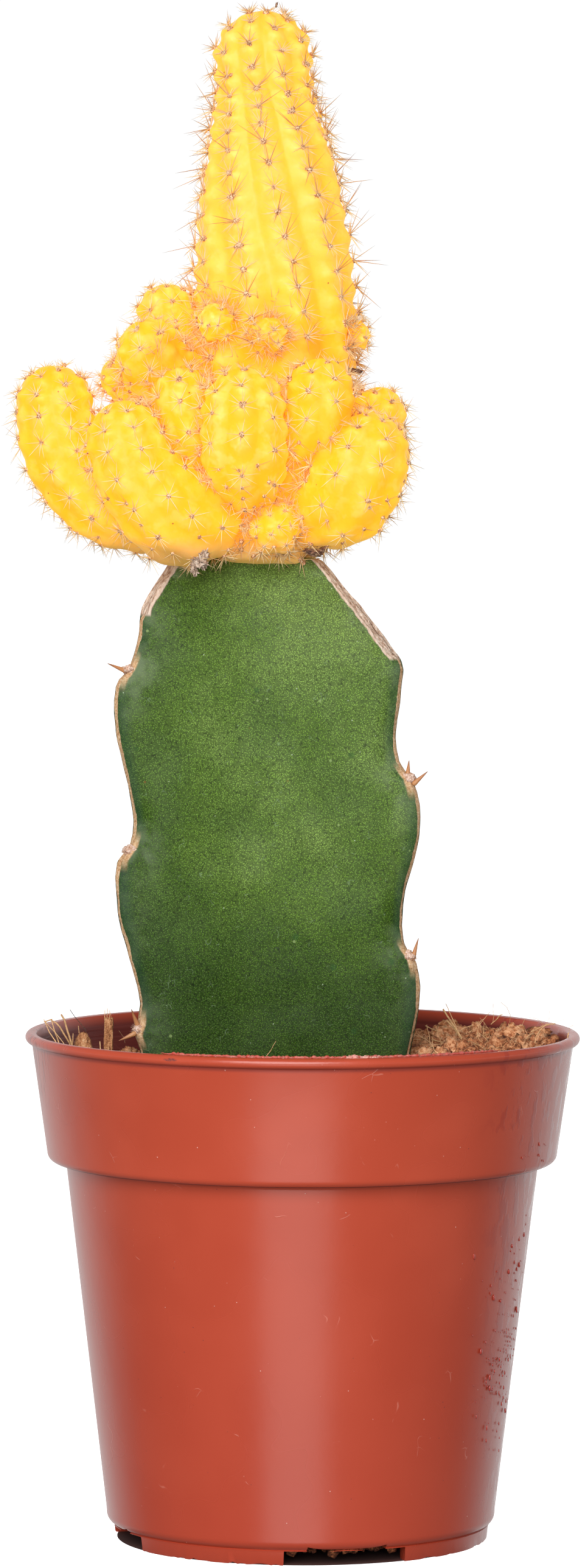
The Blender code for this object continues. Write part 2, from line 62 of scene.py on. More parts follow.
class Value:        # a shader socket that takes part in sums
    def __init__(self, paint, socket):
        self.paint, self.socket = paint, socket

    def maths(self, operation, first, second=0.0):
        return self.paint.add("ShaderNodeMath", {"operation": operation}, {0: first, 1: second})

    def __add__(self, other): return self.maths("ADD", self, other)
    def __radd__(self, other): return self.maths("ADD", other, self)
    def __sub__(self, other): return self.maths("SUBTRACT", self, other)
    def __rsub__(self, other): return self.maths("SUBTRACT", other, self)
    def __mul__(self, other): return self.maths("MULTIPLY", self, other)
    def __rmul__(self, other): return self.maths("MULTIPLY", other, self)

    def clamped(self):
        return self.paint.add("ShaderNodeClamp", {}, {"Value": self})

    def step(self, low, high):        # 0 below low, 1 above high, smooth between
        return self.paint.add(
            "ShaderNodeMapRange",
            {"interpolation_type": "SMOOTHSTEP"},
            {"Value": self, "From Min": low, "From Max": high},
        )

    def larger(self, other):
        return self.maths("MAXIMUM", self, other)


class Paint:        # one material, whose nodes all come from add
    def __init__(self, name, **constants):
        self.material = bpy.data.materials.new(name)
        self.material.use_nodes = True
        self.tree = self.material.node_tree
        self.shader = self.tree.nodes["Principled BSDF"]
        for socket, value in constants.items():
            self.shader.inputs[socket.replace("_", " ")].default_value = value

    def add(self, kind, settings, inputs, output=0):
        made = self.tree.nodes.new(kind)
        for setting, value in settings.items():
            if setting == "stops":
                while len(made.color_ramp.elements) < len(value):
                    made.color_ramp.elements.new(0.5)
                for element, (position, colour) in zip(made.color_ramp.elements, value):
                    element.position = position
                    element.color = (*colour, 1.0)
            else:
                setattr(made, setting, value)
        for socket, value in inputs.items():
            self.feed(made.inputs[socket], value)
        return Value(self, made.outputs[output])

    def feed(self, socket, value):
        if isinstance(value, Value):
            self.tree.links.new(value.socket, socket)
        elif isinstance(value, tuple) and len(value) == 3 and socket.type == "RGBA":
            socket.default_value = (*value, 1.0)
        else:
            socket.default_value = value

    def place(self, stretch=(1.0, 1.0, 1.0), shift=(0.0, 0.0, 0.0)):        # object space, in millimetres
        here = self.add("ShaderNodeTexCoord", {}, {}, "Object")
        scale = tuple(1000.0 * each for each in stretch)
        return self.add("ShaderNodeMapping", {}, {"Vector": here, "Scale": scale, "Location": shift})

    def cloud(self, size, detail=3.0, rough=0.55, where=None):        # noise whose features are size mm across
        inputs = {"Vector": where or self.place(), "Scale": 1.0 / size, "Detail": detail, "Roughness": rough}
        return self.add("ShaderNodeTexNoise", {}, inputs)

    def cells(self, size, shift=(0.0, 0.0, 0.0)):        # distance to the middle of the nearest cell
        return self.add("ShaderNodeTexVoronoi", {}, {"Vector": self.place(shift=shift), "Scale": 1.0 / size})

    def marks(self, size, solid, clear, shift=(0.0, 0.0, 0.0)):        # small spots, one to a cell
        return 1.0 - self.cells(size, shift).step(solid, clear)

    def threads(self, cellScale, swayScale, sway):        # distance to the edges of wavy cells
        where = self.place()
        waves = self.add("ShaderNodeTexNoise", {}, {"Vector": where, "Scale": swayScale, "Detail": 1.0}, "Color")
        bend = self.scaled(waves, sway)
        warped = self.add("ShaderNodeVectorMath", {"operation": "ADD"}, {0: where, 1: bend})
        inputs = {"Vector": warped, "Scale": cellScale}
        return self.add("ShaderNodeTexVoronoi", {"feature": "DISTANCE_TO_EDGE"}, inputs)

    def scaled(self, vector, factor):
        return self.add("ShaderNodeVectorMath", {"operation": "SCALE"}, {0: vector, "Scale": factor})

    def axis(self, letter):        # one coordinate in millimetres
        return self.add("ShaderNodeSeparateXYZ", {}, {"Vector": self.place()}, letter)

    def stored(self, name):        # a value that the mesh carries at its points
        return self.add("ShaderNodeAttribute", {"attribute_name": name}, {}, "Fac")

    def mix(self, share, first, second):
        return self.add("ShaderNodeMix", {"data_type": "RGBA"}, {0: share, 6: first, 7: second}, 2)

    def ramp(self, share, stops):
        return self.add("ShaderNodeValToRGB", {"stops": stops}, {"Fac": share})

    def finish(self, colour, rough, height=None, depth=0.0):
        self.feed(self.shader.inputs["Base Color"], colour)
        self.feed(self.shader.inputs["Roughness"], rough)
        if height is not None:
            bump = self.add("ShaderNodeBump", {}, {"Height": height, "Distance": depth * mm, "Strength": 1.0})
            self.feed(self.shader.inputs["Normal"], bump)
        return self.material


def linked(name, data):        # a new object in the scene
    made = bpy.data.objects.new(name, data)
    bpy.context.scene.collection.objects.link(made)
    return made


def settled(helper):        # the mesh of an object with its modifiers, which is then removed
    bpy.context.view_layer.update()
    mesh = bpy.data.meshes.new_from_object(helper.evaluated_get(bpy.context.evaluated_depsgraph_get()))
    bpy.data.objects.remove(helper)
    return mesh


def hold(name, mesh, material, nodes=(), sharp=180.0):        # a finished piece on the pot's body
    mesh.shade_smooth()
    if sharp < 180.0:
        mesh.set_sharp_from_angle(angle=math.radians(sharp))
    mesh.materials.clear()
    mesh.materials.append(material)
    piece = linked(name, mesh)
    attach(piece, "root")
    if nodes:
        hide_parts(*nodes)


def poured(name, bm):        # the bmesh as a mesh
    mesh = bpy.data.meshes.new(name)
    bm.to_mesh(mesh)
    bm.free()
    return mesh


def meshOf(name, bm):        # the same with its normals turned outward
    bmesh.ops.recalc_face_normals(bm, faces=bm.faces)
    return poured(name, bm)


def store(mesh, name, values):
    mesh.attributes.new(name, "FLOAT", "POINT").data.foreach_set("value", np.asarray(values, np.float32))


def polar(turn, reach=1.0, level=0.0):
    return Vector((reach * math.cos(turn), reach * math.sin(turn), level))


def jitter(rng, spread=1.0):
    return Vector([rng.gauss(0, spread) for _ in range(3)])


def stretched(sizes):        # matrix that gives a unit shape these half sizes, from mm
    return Matrix.Diagonal((*[each * mm for each in sizes], 1.0))


def standing(centre, turn, half, axis="Z"):        # matrix that turns, sizes and places a unit shape, from mm
    return Matrix.Translation(Vector(centre) * mm) @ Matrix.Rotation(math.radians(turn), 4, axis) @ stretched(half)


def turned(profile, steps):        # a closed body of revolution about Z
    bm = bmesh.new()
    verts = [bm.verts.new((radius, 0.0, height)) for radius, height in profile]
    edges = [bm.edges.new(pair) for pair in zip(verts, verts[1:])]
    bmesh.ops.spin(
        bm, geom=verts + edges, cent=(0, 0, 0), axis=(0, 0, 1), angle=tau, steps=steps, use_merge=True
    )
    bmesh.ops.remove_doubles(bm, verts=bm.verts, dist=0.005 * mm)
    return bm


def arc(centre, radius, start, end, count):
    turns = [math.radians(start + (end - start) * i / (count - 1)) for i in range(count)]
    return [(centre[0] + radius * math.cos(turn), centre[1] + radius * math.sin(turn)) for turn in turns]


def scattered(name, shape, places, marks):        # one small mesh at every place, with its marks there
    bm = bmesh.new()
    for mark in marks:
        if mark not in shape.attributes:
            shape.attributes.new(mark, "FLOAT", "POINT")
    count = len(shape.vertices)
    for n, place in enumerate(places):
        copy = shape.copy()
        copy.transform(place)
        for mark, values in marks.items():
            copy.attributes[mark].data.foreach_set("value", [values[n]] * count)
        bm.from_mesh(copy)
        bpy.data.meshes.remove(copy)
    return poured(name, bm)


def joined(name, meshes):        # several meshes made one
    bm = bmesh.new()
    for mesh in meshes:
        bm.from_mesh(mesh)
    return poured(name, bm)


def hairs(name, routes):        # thin tapered tubes along routes of (point, radius)
    curve = bpy.data.curves.new(name, "CURVE")
    curve.dimensions = "3D"
    curve.bevel_depth = 1.0
    curve.bevel_resolution = 1
    curve.use_fill_caps = True
    for route in routes:
        spline = curve.splines.new("POLY")
        spline.points.add(len(route) - 1)
        for knot, (place, radius) in zip(spline.points, route):
            knot.co = (*place, 1.0)
            knot.radius = radius
    return settled(linked(name, curve))


def wander(start, heading, length, radius, rng, knots, curl, droop=0.0):        # a loose fibre's route
    place, way = Vector(start), Vector(heading).normalized()
    bend = jitter(rng) * curl
    route = []
    for k in range(knots):
        share = k / (knots - 1)
        route.append((place.copy(), radius * (1.0 - 0.55 * share)))
        way = (way + bend / knots + jitter(rng) * 0.16 + Vector((0, 0, -droop / knots))).normalized()
        place = place + way * (length / (knots - 1))
    return route


def lump(subdivisions, wobble, seed, grain):        # an uneven ball of radius 1
    bm = bmesh.new()
    bmesh.ops.create_icosphere(bm, subdivisions=subdivisions, radius=1.0)
    for vert in bm.verts:
        vert.co *= 1.0 + wobble * noise.noise(vert.co * grain + Vector((seed, 0.3 * seed, 0)))
    return poured("lump", bm)


def smoothStep(value, low, high):
    share = min(max((value - low) / (high - low), 0.0), 1.0)
    return share * share * (3.0 - 2.0 * share)


view = {
    "place": (-2.135, -1244.0, 202.5), "aim": (-2.135, 0.0, 122.7), "roll": 0.0041, "lens": 176.7, "sensor": 36.0,
    "floorRadius": 4.0, "floorGlow": 1.0, "shadeRadius": 0.0299, "shadeLevel": 0.00003, "ambient": 0.20,
    "horizon": 0.07, "backFrom": 0.22, "backRise": 1.9, "backHeight": 0.45, "white": 1.02,
    "lights": (        # name, place, aim, size and power
        ("softbox", (-0.22, -1.30, 0.72), (0, 0, 0.13), (1.05, 1.05), 24.0),
        ("card", (-0.05, -0.85, -0.22), (0, 0, 0.04), (0.52, 0.50), 1.5),
    ),
}


def makeCamera():
    camera = linked("camera", bpy.data.cameras.new("camera"))
    eye, aim = Vector(view["place"]) * mm, Vector(view["aim"]) * mm
    turn = (aim - eye).to_track_quat("-Z", "Y").to_matrix().to_4x4()
    camera.matrix_world = Matrix.Translation(eye) @ turn @ Matrix.Rotation(view["roll"], 4, "Z")
    camera.data.lens = view["lens"]
    camera.data.sensor_width = view["sensor"]
    camera.data.clip_start = 0.01
    camera.data.clip_end = 50.0
    bpy.context.scene.camera = camera


def makeLight(name, place, aim, size, power):
    lamp = bpy.data.lights.new(name, "AREA")
    lamp.shape = "RECTANGLE"
    lamp.size, lamp.size_y = size
    lamp.energy = power
    turn = (Vector(aim) - Vector(place)).to_track_quat("-Z", "Y").to_matrix().to_4x4()
    linked(name, lamp).matrix_world = Matrix.Translation(Vector(place)) @ turn


def makeDisc(name, radius, level, material, lit):        # lit: other things see it and are shaded by it
    bm = bmesh.new()
    bmesh.ops.create_circle(bm, cap_ends=True, segments=96, radius=radius)
    bmesh.ops.translate(bm, vec=(0, 0, level), verts=bm.verts)
    mesh = meshOf(name, bm)
    mesh.materials.append(material)
    disc = linked(name, mesh)
    disc.visible_diffuse = disc.visible_glossy = disc.visible_shadow = lit
    disc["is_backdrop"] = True


def makeStudio():
    paint = Paint("pale_floor", Emission_Color=(1.0, 1.0, 1.0, 1.0), Emission_Strength=view["floorGlow"])
    makeDisc("floor", view["floorRadius"], 0.0, paint.finish((0.8, 0.8, 0.8), 0.9), False)
    shade = Paint("floor_shade").finish((0.085, 0.030, 0.024), 0.9)
    makeDisc("shade_under_pot", view["shadeRadius"], view["shadeLevel"], shade, True)

    world = bpy.data.worlds.new("studio")
    bpy.context.scene.world = world
    world.use_nodes = True
    nodes, links = world.node_tree.nodes, world.node_tree.links
    coordinates = nodes.new("ShaderNodeTexCoord")
    split = nodes.new("ShaderNodeSeparateXYZ")
    links.new(coordinates.outputs["Generated"], split.inputs[0])

    def worldMath(operation, *values):
        node = nodes.new("ShaderNodeMath")
        node.operation = operation
        for socket, value in zip(node.inputs, values):
            if isinstance(value, float):
                socket.default_value = value
            else:
                links.new(value, socket)
        return node.outputs[0]

    level = worldMath("ABSOLUTE", split.outputs["Z"])
    band = worldMath("LESS_THAN", level, view["horizon"])        # a white line round the horizon
    back = worldMath("MULTIPLY", worldMath("SUBTRACT", split.outputs["Y"], view["backFrom"]), view["backRise"])
    back = worldMath("MINIMUM", worldMath("MAXIMUM", back, 0.0), 1.0)
    behind = worldMath("MULTIPLY", back, worldMath("LESS_THAN", level, view["backHeight"]))
    white = worldMath("MAXIMUM", band, behind)
    soft = view["ambient"]
    glow = worldMath("ADD", worldMath("MULTIPLY", white, view["white"] - soft), soft)
    links.new(glow, nodes["Background"].inputs["Strength"])
    nodes["Background"].inputs["Color"].default_value = (1.0, 1.0, 1.0, 1.0)
    for light in view["lights"]:
        makeLight(*light)
    bpy.context.scene.view_settings.view_transform = "Standard"


makeCamera()
makeStudio()
print("camera and studio")


pot = {
    "rim": 45.0, "top": 82.4, "bead": 0.85, "wall": 1.1, "lip": 1.7,
    "collarTop": 43.9, "collarFoot": 41.4, "collarBottom": 61.6, "collarRound": 1.3,
    "bodyTop": 38.3, "bodyFoot": 31.6, "footHeight": 2.4, "footRing": 30.6, "footWidth": 3.0,
    "notches": 4, "firstNotch": -76.0, "notchWidth": 20.0, "drainLength": 13.0, "drainDepth": 5.0,
    "notchReach": 7.8, "drainLift": 0.55, "drainHeight": 4.4, "centreDrain": 4.0, "steps": 240,
    "innerFrom": 3.2, "chippedBelow": 0.35, "chip": 0.42,
}


def makePlastic():
    paint = Paint("moulded_plastic", IOR=1.5)
    height, sideways, inside = paint.axis("Z"), paint.axis("X"), paint.stored("inside")
    mottle = paint.cloud(22.0, 2.0)
    colour = paint.mix(mottle.step(0.35, 0.7), (0.455, 0.061, 0.027), (0.50, 0.073, 0.034))
    # painted shade: the plastic darkens towards the foot, where less light falls
    colour = paint.mix((1.0 - height.step(6.0, 78.0)) * 0.5, colour, (0.36, 0.038, 0.018))
    # painted shade: the inside wall of the pot is darkened, where shade falls inside it
    colour = paint.mix(inside * 0.92, colour, (0.115, 0.014, 0.012))
    lines = paint.cloud(0.5, 2.0, where=paint.place((0.02, 0.02, 1.0)))
    colour = paint.mix(inside * lines.step(0.45, 0.75) * 0.25, colour, (0.36, 0.085, 0.07))
    # painted shade: the groove under the rim's bead is darkened
    groove = (height.step(79.9, 80.5) * (1.0 - height.step(80.75, 81.1))) * (1.0 - inside)
    colour = paint.mix(groove * 0.55, colour, (0.22, 0.035, 0.03))
    dust = paint.marks(2.3, 0.028, 0.05) * paint.cloud(9.0).step(0.46, 0.58)
    colour = paint.mix(dust * 0.75, colour, (0.85, 0.5, 0.42))
    flecks = paint.marks(2.9, 0.024, 0.042, (7, 3, 1)) * paint.cloud(14.0).step(0.42, 0.56)
    colour = paint.mix(flecks * 0.7, colour, (0.10, 0.03, 0.03))
    scratch = (1.0 - paint.threads(0.14, 0.22, 7.0).step(0.004, 0.014)) * paint.cloud(7.0).step(0.64, 0.69)
    colour = paint.mix(scratch * 0.28, colour, (0.78, 0.32, 0.24))
    across, up = (sideways + 20.9) * 0.8, (height - 81.75) * 3.2        # a dark mark under the rim
    mark = (1.0 - (across * across + up * up).step(0.3, 1.0)) * paint.cloud(0.5, 2.0).step(0.35, 0.55)
    colour = paint.mix(mark * 0.75, colour, (0.07, 0.035, 0.04))
    stainZone = sideways.step(27.0, 34.0) * (1.0 - inside)
    stains = paint.cloud(2.4, 4.0, where=paint.place((1.0, 1.0, 0.5))).step(0.52, 0.60) * stainZone
    colour = paint.mix(stains * 0.4, colour, (0.27, 0.03, 0.025))
    streakZone = (1.0 - sideways.step(-43.5, -39.5)) * height.step(66.0, 74.0) * (1.0 - inside)
    streaks = paint.cloud(0.7, 2.0, where=paint.place((1.0, 1.0, 0.12))).step(0.52, 0.62) * streakZone
    colour = paint.mix(streaks * 0.7, colour, (0.22, 0.04, 0.035))
    rough = 0.235 + mottle * 0.08 + dust * 0.3 - stains * 0.1 + inside * 0.12
    fine = paint.cloud(0.55, 3.0) * 0.16 + paint.cloud(6.0, 2.0) * 0.9
    relief = fine + dust * 0.9 + stains * 0.3 + scratch * 0.35 + streaks * 0.7 + lines * inside * 1.5
    return paint.finish(colour, rough.clamped(), relief, 0.05)


def potProfile():
    shape = {key: value * mm for key, value in pot.items() if isinstance(value, float)}
    wall, foot, top = shape["wall"], shape["footHeight"], shape["top"]
    bottom, edge = shape["collarBottom"], shape["collarRound"]
    inner = [
        (0.0, foot + wall),
        (shape["bodyFoot"] - wall - 1.8 * mm, foot + wall),
        *arc((shape["bodyFoot"] - wall - 1.6 * mm, foot + wall + 1.6 * mm), 1.6 * mm, -80, -6, 5),
        (shape["bodyTop"] - wall, bottom - 1.4 * mm),
        *arc((shape["bodyTop"] - wall + 1.2 * mm, bottom - 1.2 * mm), 1.2 * mm, 172, 100, 4),
        (shape["collarFoot"] - wall - 0.8 * mm, bottom + 0.9 * mm),
        (shape["collarFoot"] - wall, bottom + 2.0 * mm),
        (shape["collarTop"] - wall, top - 1.9 * mm),
        *arc((shape["rim"] - shape["lip"] + 0.25 * mm, top - 0.45 * mm), 0.4 * mm, 170, 95, 4),
    ]
    outer = [
        *arc((shape["rim"] - shape["bead"], top - shape["bead"] + 0.05 * mm), shape["bead"], 100, -55, 11),
        (shape["collarTop"] + 0.12 * mm, top - 1.75 * mm),
        (shape["collarTop"], top - 2.05 * mm),
        (shape["collarFoot"] + 0.05 * mm, bottom + edge + 0.3 * mm),
        *arc((shape["collarFoot"] - edge, bottom + edge), edge, -4, -88, 8),
        (shape["bodyTop"] + 0.9 * mm, bottom - 0.02 * mm),
        *arc((shape["bodyTop"] + 0.62 * mm, bottom - 0.65 * mm), 0.6 * mm, 95, 178, 5),
        (shape["bodyFoot"] + 0.03 * mm, foot + 2.4 * mm),
        *arc((shape["bodyFoot"] - 1.7 * mm, foot + 1.75 * mm), 1.7 * mm, -2, -68, 7),
        (shape["footRing"] + 0.12 * mm, foot),
        (shape["footRing"], foot - 0.3 * mm),
        (shape["footRing"] - 0.2 * mm, 0.25 * mm),
        (shape["footRing"] - 0.4 * mm, 0.0),
        (shape["footRing"] - shape["footWidth"] + 0.2 * mm, 0.0),
        (shape["footRing"] - shape["footWidth"], 0.2 * mm),
        (shape["footRing"] - shape["footWidth"], foot),
        (0.0, foot),
    ]
    return inner + outer


def wallAt(height):        # the pot's outer radius there, in mm
    part, low, high = "body", 0.0, pot["collarBottom"]
    if height > high:
        part, low, high = "collar", high, pot["top"]
    return pot[part + "Foot"] + (pot[part + "Top"] - pot[part + "Foot"]) * (height - low) / (high - low)


def makePot():
    shell = linked("pot_uncut", meshOf("pot_shell", turned(potProfile(), pot["steps"])))
    cutters = []
    ring = (pot["footRing"] - pot["footWidth"] / 2) * mm
    foot = pot["footHeight"] * mm
    drain, tall = foot + pot["drainLift"] * mm, pot["drainHeight"] * mm
    boxes = [        # distance from the axis, height and size of a gap in the foot and of a slot above it
        (ring, foot / 2 - 1.02 * mm, (pot["notchReach"] * mm, pot["notchWidth"] * mm, foot + 2 * mm)),
        (ring - 1.0 * mm, drain, (pot["drainDepth"] * mm, pot["drainLength"] * mm, tall)),
    ]
    for n in range(pot["notches"]):
        turn = Matrix.Rotation(math.radians(pot["firstNotch"] + 360.0 * n / pot["notches"]), 4, "Z")
        for away, height, size in boxes:
            cutterBm = bmesh.new()
            bmesh.ops.create_cube(cutterBm, size=1.0)
            bmesh.ops.scale(cutterBm, vec=size, verts=cutterBm.verts)
            bmesh.ops.translate(cutterBm, vec=(away, 0, height), verts=cutterBm.verts)
            bmesh.ops.transform(cutterBm, matrix=turn, verts=cutterBm.verts)
            cutters.append(meshOf("cutter", cutterBm))
    cutterBm = bmesh.new()
    radius = pot["centreDrain"] * mm
    bmesh.ops.create_cone(cutterBm, cap_ends=True, segments=48, radius1=radius, radius2=radius, depth=tall)
    bmesh.ops.translate(cutterBm, vec=(0, 0, drain), verts=cutterBm.verts)
    cutters.append(meshOf("cutter", cutterBm))
    helpers = [linked("cutter", cutterMesh) for cutterMesh in cutters]
    for helper in helpers:
        modifier = shell.modifiers.new("cut", "BOOLEAN")
        modifier.operation = "DIFFERENCE"
        modifier.object = helper
    cut = settled(shell)
    for helper in helpers:
        bpy.data.objects.remove(helper)
    inner = []
    for vert in cut.vertices:
        radius, height = math.hypot(vert.co.x, vert.co.y) / mm, vert.co.z / mm
        if height < pot["chippedBelow"]:        # the moulding's ragged foot
            chip = noise.noise(Vector((vert.co.x, vert.co.y, 0)) / (1.1 * mm))
            chip += 0.7 * noise.noise(vert.co / (4.0 * mm))
            vert.co.z += max(0.0, pot["chip"] * chip) * mm
        inner.append(radius < wallAt(height) - 0.7 and pot["innerFrom"] < height < pot["top"] - 0.5)
    store(cut, "inside", inner)
    hold("pot_shell", cut, plastic, ["pot"], sharp=38.0)


flashing = {
    "from": -121.0, "to": -44.0, "radius": 43.5, "height": 82.28, "seed": 3,
    "blobs": (        # degrees round from the right, size
        (-81.3, 0.42), (-80.4, 0.62), (-79.2, 0.74), (-78.0, 0.58), (-76.9, 0.66), (-75.8, 0.50), (-74.6, 0.60),
        (-73.5, 0.40), (-72.2, 0.30), (-103.6, 0.34), (-104.9, 0.42), (-106.4, 0.36), (-108.0, 0.40), (-109.6, 0.30),
        (-90.4, 0.26), (-94.1, 0.30), (-69.8, 0.28), (-66.0, 0.30), (-60.5, 0.26), (-53.7, 0.24), (-98.6, 0.24),
    ),
    "drops": 150, "spread": (-44.0, -7.0, -19.0), "levels": (13.0, 57.0, 31.0),
    "onCollar": 0.07, "collarSpread": (-34.0, -8.0), "collarLevels": (62.8, 67.0), "largest": 0.45,
}


def makeFlashing():        # the torn lip left on the front of the rim, and dried drops low on the right
    rng = random.Random(flashing["seed"])
    paint = Paint("torn_lip", IOR=1.5, Subsurface_Weight=0.3, Subsurface_Scale=0.0008)
    pale = paint.stored("pale")
    blotch = paint.cloud(0.7, 3.0)
    colour = paint.mix((pale * 0.8 + (blotch - 0.5) * 0.9).clamped(), (0.46, 0.045, 0.026), (0.86, 0.40, 0.34))
    paint.finish(colour, 0.36, blotch + paint.cloud(0.25, 2.0), 0.10)

    def onWall(turn, reach, level):        # degrees round from the right
        return polar(math.radians(turn), reach, level) * mm

    routes = []
    for strand in range(3):
        route, count = [], 260
        for n in range(count + 1):
            turn = flashing["from"] + (flashing["to"] - flashing["from"]) * n / count
            ragged = noise.noise(Vector((turn * 1.1, strand * 7.0, 0.0)))
            fine = noise.noise(Vector((turn * 3.6, strand * 5.0, 2.0)))
            thick = max(0.06, 0.21 + 0.20 * ragged + 0.13 * fine) * min(1.0, n / 12, (count - n) / 12) + 0.01
            reach = flashing["radius"] + 0.16 * (strand - 1) + 0.14 * fine
            level = flashing["height"] + 0.14 + 0.16 * ragged + 0.06 * strand
            route.append((onWall(turn, reach, level), thick * mm))
        routes.append(route)
    strip = hairs("strip", routes)
    store(strip, "pale", [0.22] * len(strip.vertices))
    pieces = [strip]
    for number, (turn, size) in enumerate(flashing["blobs"]):
        blob = lump(4, 0.5, 80 + number * 1.7, 1.9)
        for vert in blob.vertices:
            vert.co *= 1.0 + 0.16 * noise.noise(vert.co * 5.0)
        place = Matrix.Translation(onWall(turn, flashing["radius"] + 0.1, flashing["height"] + 0.25 * size))
        spin = Matrix.Rotation(math.radians(turn + 90), 4, "Z")
        blob.transform(place @ spin @ stretched((size, 0.62 * size, 0.62 * size)))
        store(blob, "pale", [min(1.0, 0.4 + size)] * len(blob.vertices))
        pieces.append(blob)
    hold("pot_torn_lip", joined("pot_torn_lip", pieces), paint.material)

    wet = Paint("dried_drops", IOR=1.5, Coat_Weight=0.4)
    colour = wet.mix(wet.cloud(1.5, 2.0), (0.30, 0.026, 0.020), (0.42, 0.05, 0.03))
    wet.finish(colour, 0.14, wet.cloud(0.4, 2.0), 0.02)
    places = []
    for n in range(flashing["drops"]):
        turn, level = rng.triangular(*flashing["spread"]), rng.triangular(*flashing["levels"])
        size = min(0.07 + rng.expovariate(8.5), flashing["largest"])
        if n > flashing["drops"] * (1.0 - flashing["onCollar"]):        # a few more on the collar's lower edge
            turn, level = rng.uniform(*flashing["collarSpread"]), rng.uniform(*flashing["collarLevels"])
        stretch = stretched((0.42 * size, 0.72 * size, rng.uniform(0.8, 1.7) * size))
        spin = Matrix.Rotation(math.radians(turn), 4, "Z")
        places.append(Matrix.Translation(onWall(turn, wallAt(level), level)) @ spin @ stretch)
    drop = lump(2, 0.25, 5.0, 1.5)
    hold("pot_dried_drops", scattered("drops", drop, places, {}), wet.material)


plastic = makePlastic()
makePot()
makeFlashing()
print("pot")

stems = {
    "graftRounding": 1.2, "easing": 18,
    "radials": (2.2, 3.7), "radialRadius": (0.068, 0.095), "centrals": (3.2, 6.0), "tuftsAbove": 160,
    # glow: emission strength of the yellow skin, painted light that lifts its shaded sides
    "underTufts": 16, "underGap": 2.9, "skirt": 64, "skirtLevels": (159.7, 162.8), "glow": 0.56,
}

stemKinds = {        # what differs: ribs, spines, mesh and the tufts in the hollows
    "column": {
        "ribs": 10, "gap": 3.95, "ribDepth": 0.052, "tubercle": 0.66, "twist": -75.0, "spines": 1.0, "wool": 0.50,
        "grid": (260, 300), "tufts": 330, "tries": 5000, "tuftReach": -3.0,
    },
    "offset": {
        "ribs": 8, "gap": 4.1, "ribDepth": 0.042, "tubercle": 0.36, "twist": 0.0, "spines": 0.92, "wool": 0.38,
        "grid": (128, 132), "tufts": 95, "tries": 2200, "tuftReach": -1.3,
    },
    "pup": {
        "ribs": 6, "gap": 2.6, "ribDepth": 0.042, "tubercle": 0.36, "twist": 0.0, "spines": 0.6, "wool": 0.25,
        "grid": (72, 64), "tufts": 95, "tries": 2200, "tuftReach": -1.3,
    },
}

